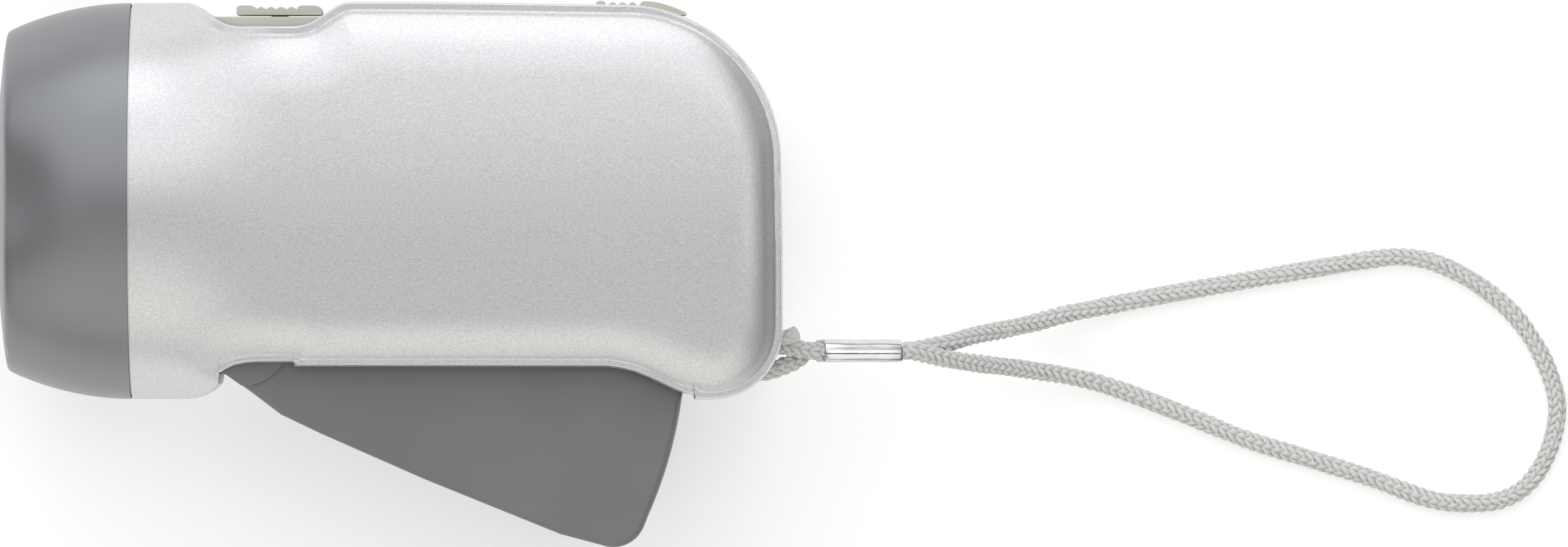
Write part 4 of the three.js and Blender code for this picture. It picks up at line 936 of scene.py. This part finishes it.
# %% A group for fine grain
def new_group(name, inputs, outputs):
    group = bpy.data.node_groups.new(name, "ShaderNodeTree")
    for label, value in inputs.items():
        kind = "NodeSocketVector" if isinstance(value, tuple) else "NodeSocketFloat"
        group.interface.new_socket(label, in_out="INPUT", socket_type=kind).default_value = value
    for label in outputs:
        group.interface.new_socket(label, in_out="OUTPUT", socket_type="NodeSocketFloat")
    return group, group.nodes.new("NodeGroupInput").outputs, group.nodes.new("NodeGroupOutput")


def grain_group():
    inputs = {"Cells per metre": 2500.0, "Blotches per metre": 60.0, "Stretch": (1.0, 1.0, 1.0)}
    group, given, result = new_group("fine_grain", inputs, ["Fine", "Blotch"])
    where = stretched(group, given["Stretch"])
    feed_all(group, result, Fine=noise(group, where, given["Cells per metre"], 3.0, 0.6),
             Blotch=noise(group, where, given["Blotches per metre"]))
    return group


fine_grain = grain_group()
print("group", fine_grain.name)

# %% [markdown]
# The second is edge wear: paint and plastic are paler where hands rub them. Pointiness tells
# how sharply the surface turns, and a noise breaks it up so that no edge is worn evenly.


# %% A group for rubbed edges
def wear_group():
    group, given, result = new_group("rubbed_edges", {"Start": 0.52, "Break up": 0.5}, ["Mask"])
    turning = new(group, "NewGeometry").outputs["Pointiness"]
    sharp = spread(group, Value=turning, From_Min=given["Start"], From_Max=0.62)
    speckle = noise(group, new(group, "TexCoord").outputs["Object"], 900.0)
    broken = calculate(group, "MULTIPLY", speckle, given["Break up"])
    feed_all(group, result, Mask=calculate(group, "SUBTRACT", sharp, broken, clamp=True))
    return group


rubbed_edges = wear_group()
print("group", rubbed_edges.name)


# %% Helpers for finishes
def new_finish(name, roughness, metallic=0.0, **settings):
    material = bpy.data.materials.new(name)
    material.use_nodes = True
    shader = material.node_tree.nodes["Principled BSDF"]
    values = {"Roughness": roughness, "Metallic": metallic, **settings}
    return material, material.node_tree, feed_all(material.node_tree, shader, **values)


def place_group(tree, group, **values):
    node = new(tree, "Group")
    node.node_tree = group
    return feed_all(tree, node, **values).outputs


def dress(tree, shader, color, gloss=None, bump=None):
    """Feeds in the colour, a roughness as (factor, from, to) and a bump as (height, strength, depth)."""
    feed_all(tree, shader, Base_Color=color)
    if gloss:
        rough = spread(tree, Value=gloss[0], To_Min=gloss[1], To_Max=gloss[2])
        feed_all(tree, shader, Roughness=rough)
    if bump:
        node = feed_all(tree, new(tree, "Bump"), Height=bump[0], Strength=bump[1], Distance=bump[2] * MM)
        feed_all(tree, shader, Normal=node.outputs["Normal"])


# %% [markdown]
# The shells are sprayed silver: a metal-flake base under a satin lacquer. Mostly metallic and fairly rough,
# the paint shows the room as broad soft bands, pale on the slopes and darker in the middle, and the fine
# grain makes it sparkle. The grain is drawn out along the length, as the flakes lie with the spray.


# %% Silver paint and moulded plastic
def handled(finish, grain, color, worn, break_up, gloss, bump):
    """What paint and plastic share: rubbed edges, uneven gloss and a fine bump."""
    material, tree, shader = finish
    wear = place_group(tree, rubbed_edges, Start=0.53, Break_up=break_up)["Mask"]
    mixed = mix_colors(tree, wear, color, linear(*worn))
    dress(tree, shader, mixed, (grain["Blotch"], *gloss), (grain["Fine"], *bump))
    return material


def silver_paint():
    finish = _, tree, _ = new_finish("silver_paint", 0.36, 0.72)
    grain = place_group(tree, fine_grain, Cells_per_metre=5600, Blotches_per_metre=45, Stretch=(0.5, 1, 1))
    color = two_tone(tree, grain["Fine"], (203, 203, 206), (230, 230, 231))
    return handled(finish, grain, color, (222, 222, 220), 0.9, (0.33, 0.40), (0.45, 0.014))


def moulded_plastic(name, dark, light, roughness, depth=0.01, **settings):
    finish = _, tree, _ = new_finish(name, roughness, 0.0, **settings)
    grain = place_group(tree, fine_grain, Cells_per_metre=3000.0, Blotches_per_metre=70.0)
    color = two_tone(tree, grain["Blotch"], dark, light)
    worn = [min(v + 22, 250) for v in light]
    return handled(finish, grain, color, worn, 0.8, (roughness - 0.04, roughness + 0.06), (0.35, depth))


def worked_metal(name, dark, light, roughness, stretch=(1, 1, 1), cells=900.0, depth=0.004):
    """Plated or turned metal: a noise stretched one way stands for the marks of the tool."""
    material, tree, shader = new_finish(name, roughness, 1.0)
    marks = noise(tree, stretched(tree, stretch), cells, 4.0)
    gloss = (marks, max(roughness - 0.06, 0.02), roughness + 0.1)
    dress(tree, shader, two_tone(tree, marks, dark, light), gloss, (marks, 0.3, depth))
    return material


# %% [markdown]
# The cord is spun polyester. Its stitches are in the mesh, so the finish adds what is finer: the yarn's own
# fibres, a little unevenness of colour, painted shade in the grooves and the soft sheen of cloth. Clear
# plastic has no more than a faint unevenness of tint.


# %% Braided yarn and clear plastic
def braided_yarn():
    material, tree, shader = new_finish("braided_yarn", 0.85, Sheen_Weight=0.25, Sheen_Roughness=0.5)
    fibre = noise(tree, new(tree, "TexCoord").outputs["Object"], 6000.0, 3.0)
    turning = new(tree, "NewGeometry").outputs["Pointiness"]
    # Painted shade: the colour turns dark where Pointiness is low, in the grooves between the stitches
    groove = two_tone(tree, turning, (138, 139, 138), (241, 241, 240), 0.42, 0.51)
    fleck = two_tone(tree, fibre, (226, 226, 224), (255, 255, 254))
    dress(tree, shader, mix_colors(tree, 0.7, groove, fleck, "MULTIPLY"), bump=(fibre, 0.6, 0.03))
    return material


def clear_plastic(name, tint, roughness):
    material, tree, shader = new_finish(name, roughness, Transmission_Weight=1.0, IOR=1.49)
    grain = place_group(tree, fine_grain, Cells_per_metre=400.0, Blotches_per_metre=90.0)
    dress(tree, shader, two_tone(tree, grain["Blotch"], tint, (255, 255, 255)))
    return material


# %% [markdown]
# Each slot of the record gets one finish. The parts inside are seen only when the torch is opened, so they
# get plain finishes in the colours that such parts have. The lever shares the ring's slot, but it is a
# moulding of its own, darker and duller in the photograph, and so gets its own plastic.

# %% Give every slot of the record its finish
finishes = {
    "shell": silver_paint(),
    "grey_plastic": moulded_plastic("grey_moulded_plastic", (134, 136, 139), (141, 143, 146), 0.34,
                                    Metallic=0.55, Specular_IOR_Level=0.9),
    "magnet": moulded_plastic("sintered_magnet", (52, 52, 54), (66, 66, 68), 0.55, 0.03),
    "cord_fabric": braided_yarn(),
    "lens_clear": clear_plastic("clear_lens_plastic", (244, 248, 250), 0.03),
    "led_clear": clear_plastic("diode_resin", (250, 250, 246), 0.05),
    "mirror_metal": worked_metal("vacuum_metal", (226, 228, 230), (240, 241, 242), 0.07, cells=60.0,
                                 depth=0.002),
    "steel": worked_metal("plated_steel", (176, 178, 181), (206, 207, 209), 0.3),
    "brass": worked_metal("turned_brass", (196, 158, 84), (220, 184, 108), 0.3, (1, 1, 12)),
    "copper": worked_metal("enamelled_copper", (164, 86, 38), (200, 116, 58), 0.28, (1, 1, 9), 1500.0, 0.03),
    "ferrule_metal": worked_metal("nickel_plate", (206, 206, 208), (232, 231, 230), 0.12, (1, 8, 1), 500.0),
}
for slot, name, dark, light, roughness in (
        ("switch_plastic", "pale_switch_plastic", (198, 199, 189), (208, 209, 200), 0.5),
        ("lock_plastic", "pale_lock_plastic", (208, 204, 192), (218, 214, 203), 0.5),
        ("dark_plastic", "dark_plastic", (44, 45, 47), (54, 55, 57), 0.5),
        ("circuit_green", "solder_mask", (30, 92, 52), (38, 110, 62), 0.35),
        ("gear_plastic", "gear_plastic", (226, 222, 210), (236, 233, 222), 0.45),
        ("frame_plastic", "frame_plastic", (208, 206, 196), (220, 218, 208), 0.55),
        ("bobbin_white", "bobbin_plastic", (232, 232, 226), (242, 242, 238), 0.5),
        ("cell_jacket", "cell_sleeve", (58, 104, 74), (70, 122, 88), 0.35),
        ("wire_red", "red_insulation", (168, 46, 38), (186, 60, 50), 0.45),
        ("wire_black", "black_insulation", (30, 30, 32), (42, 42, 44), 0.45),
        ("wire_yellow", "yellow_insulation", (204, 164, 44), (222, 184, 62), 0.45)):
    finishes[slot] = moulded_plastic(name, dark, light, roughness)
lever_plastic = moulded_plastic("grey_lever_plastic", (122, 123, 126), (129, 130, 133), 0.42)
phosphor = moulded_plastic("yellow_phosphor", (214, 190, 70), (236, 214, 96), 0.6)


def give(piece, finish):
    piece.data.materials.clear()
    piece.data.materials.append(finish)


slots = {part["node"]: part["material_slot"] for part in frame["record"]["subparts"]}
for node, holder in frame["nodes"].items():
    give(holder, finishes[slots[node]])
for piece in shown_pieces():
    if "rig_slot" in piece:
        give(piece, finishes[piece["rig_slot"]])
give(lever, lever_plastic)
for i in range(3):
    give(bpy.data.objects[f"diode_chip_{i + 1}"], phosphor)
print("finishes", len(finishes))

# %% [markdown]
# ## Floor and light
# The photograph is a cut-out on white. A floor gives that ground. Its colour is lifted to full white where
# the camera or a shiny surface sees it, so the lamps can stay low and the torch keeps a soft shadow.


# %% The floor
FLOOR_REACH, FLOOR_GAP = 4000, 0.02
EXTRA_WHITE = 0.44


def white_floor():
    corners = block_outline(-FLOOR_REACH, FLOOR_REACH, -FLOOR_REACH, FLOOR_REACH)
    floor = mesh_piece("floor", [(x, y, -HALF_DEPTH - FLOOR_GAP) for x, y in corners], [(0, 1, 2, 3)])
    material, tree, shader = new_finish("white_ground", 0.9)
    feed_all(tree, shader, Base_Color=(0.8, 0.8, 0.8, 1))
    ray = new(tree, "LightPath").outputs
    seen = ray["Is Camera Ray"]
    for kind in ("Is Glossy Ray", "Is Transmission Ray"):
        seen = calculate(tree, "MAXIMUM", seen, ray[kind])
    white = calculate(tree, "MULTIPLY", seen, EXTRA_WHITE)
    glow = feed_all(tree, new(tree, "Emission"), Color=(1, 1, 1, 1), Strength=white)
    both = new(tree, "AddShader")
    feed(tree, both.inputs[0], shader.outputs["BSDF"])
    feed(tree, both.inputs[1], glow.outputs["Emission"])
    feed_all(tree, tree.nodes["Material Output"], Surface=both.outputs["Shader"])
    give(floor, material)


white_floor()

# %% [markdown]
# The light is a large soft room: brightest from the switch's side of the picture, gentler and warmer from
# the lever's side, darkest to the left and right. A sky that depends only on direction does this without
# noise, so the paint's slopes pick up the same bands as in the photograph.


# %% The room's light
def room_light():
    world = bpy.data.worlds.new("soft_room")
    bpy.context.scene.world = world
    world.use_nodes = True
    tree = world.node_tree
    toward = new(tree, "TexCoord").outputs["Generated"]
    axes = feed_all(tree, new(tree, "SeparateXYZ"), Vector=toward).outputs

    def ramp(axis, low, high, first, last):
        """A level that goes smoothly from first to last while one axis goes from low to high."""
        return spread(tree, "SMOOTHSTEP", Value=axes[axis], From_Min=low, From_Max=high, To_Min=first,
                      To_Max=last)

    def times(first, second):
        return calculate(tree, "MULTIPLY", first, second)

    above = ramp("Z", 0.0, 0.25, 0.0, 1.0)
    switch_side = times(ramp("Y", -0.1, 0.34, 0.0, 0.95), above)
    lever_side = times(ramp("Y", -0.75, -0.05, 0.72, 0.0), above)
    ground = ramp("Z", -0.2, 0.5, 0.16, 0.44)
    sides = times(ramp("X", 0.2, 0.72, 1.0, 0.25), ramp("X", -0.9, -0.4, 0.45, 1.0))
    cool = times(calculate(tree, "ADD", switch_side, ground), sides)
    warm = times(lever_side, sides)
    total = new(tree, "AddShader")
    for k, (level, color) in enumerate(((cool, (0.985, 0.99, 1.0, 1)), (warm, (1.0, 0.96, 0.87, 1)))):
        glow = tree.nodes["Background"] if k == 0 else new(tree, "Background")
        feed_all(tree, glow, Color=color, Strength=level)
        feed(tree, total.inputs[k], glow.outputs["Background"])
    feed_all(tree, tree.nodes["World Output"], Surface=total.outputs["Shader"])


room_light()

# %% [markdown]
# Two area lamps add what so soft a sky can't. The key stands far out on the switch's side and draws the
# bright line along the top edge. The card hangs over the ferrule, like the white card that a photographer
# holds up so that polished metal has something pale to reflect.


# %% The two lamps
def area_lamp(name, location, aim, energy, width, height):
    data = bpy.data.lights.new(name, "AREA")
    data.shape = "RECTANGLE"
    data.size, data.size_y = width, height
    data.energy = energy
    lamp = add_object(name, data)
    lamp.location = location
    lamp.rotation_euler = (aim - location).to_track_quat("-Z", "Y").to_euler()


area_lamp("key", place(45, 620, 260), place(45, 0, 0), 0.35, 0.5, 0.35)
ferrule_middle = place(112, -19.7, 0)
area_lamp("card", ferrule_middle + Vector((0.27, 0.0, 0.5)), ferrule_middle, 0.12, 0.2, 0.2)
bpy.context.scene.view_settings.view_transform = "Standard"
print("light set")
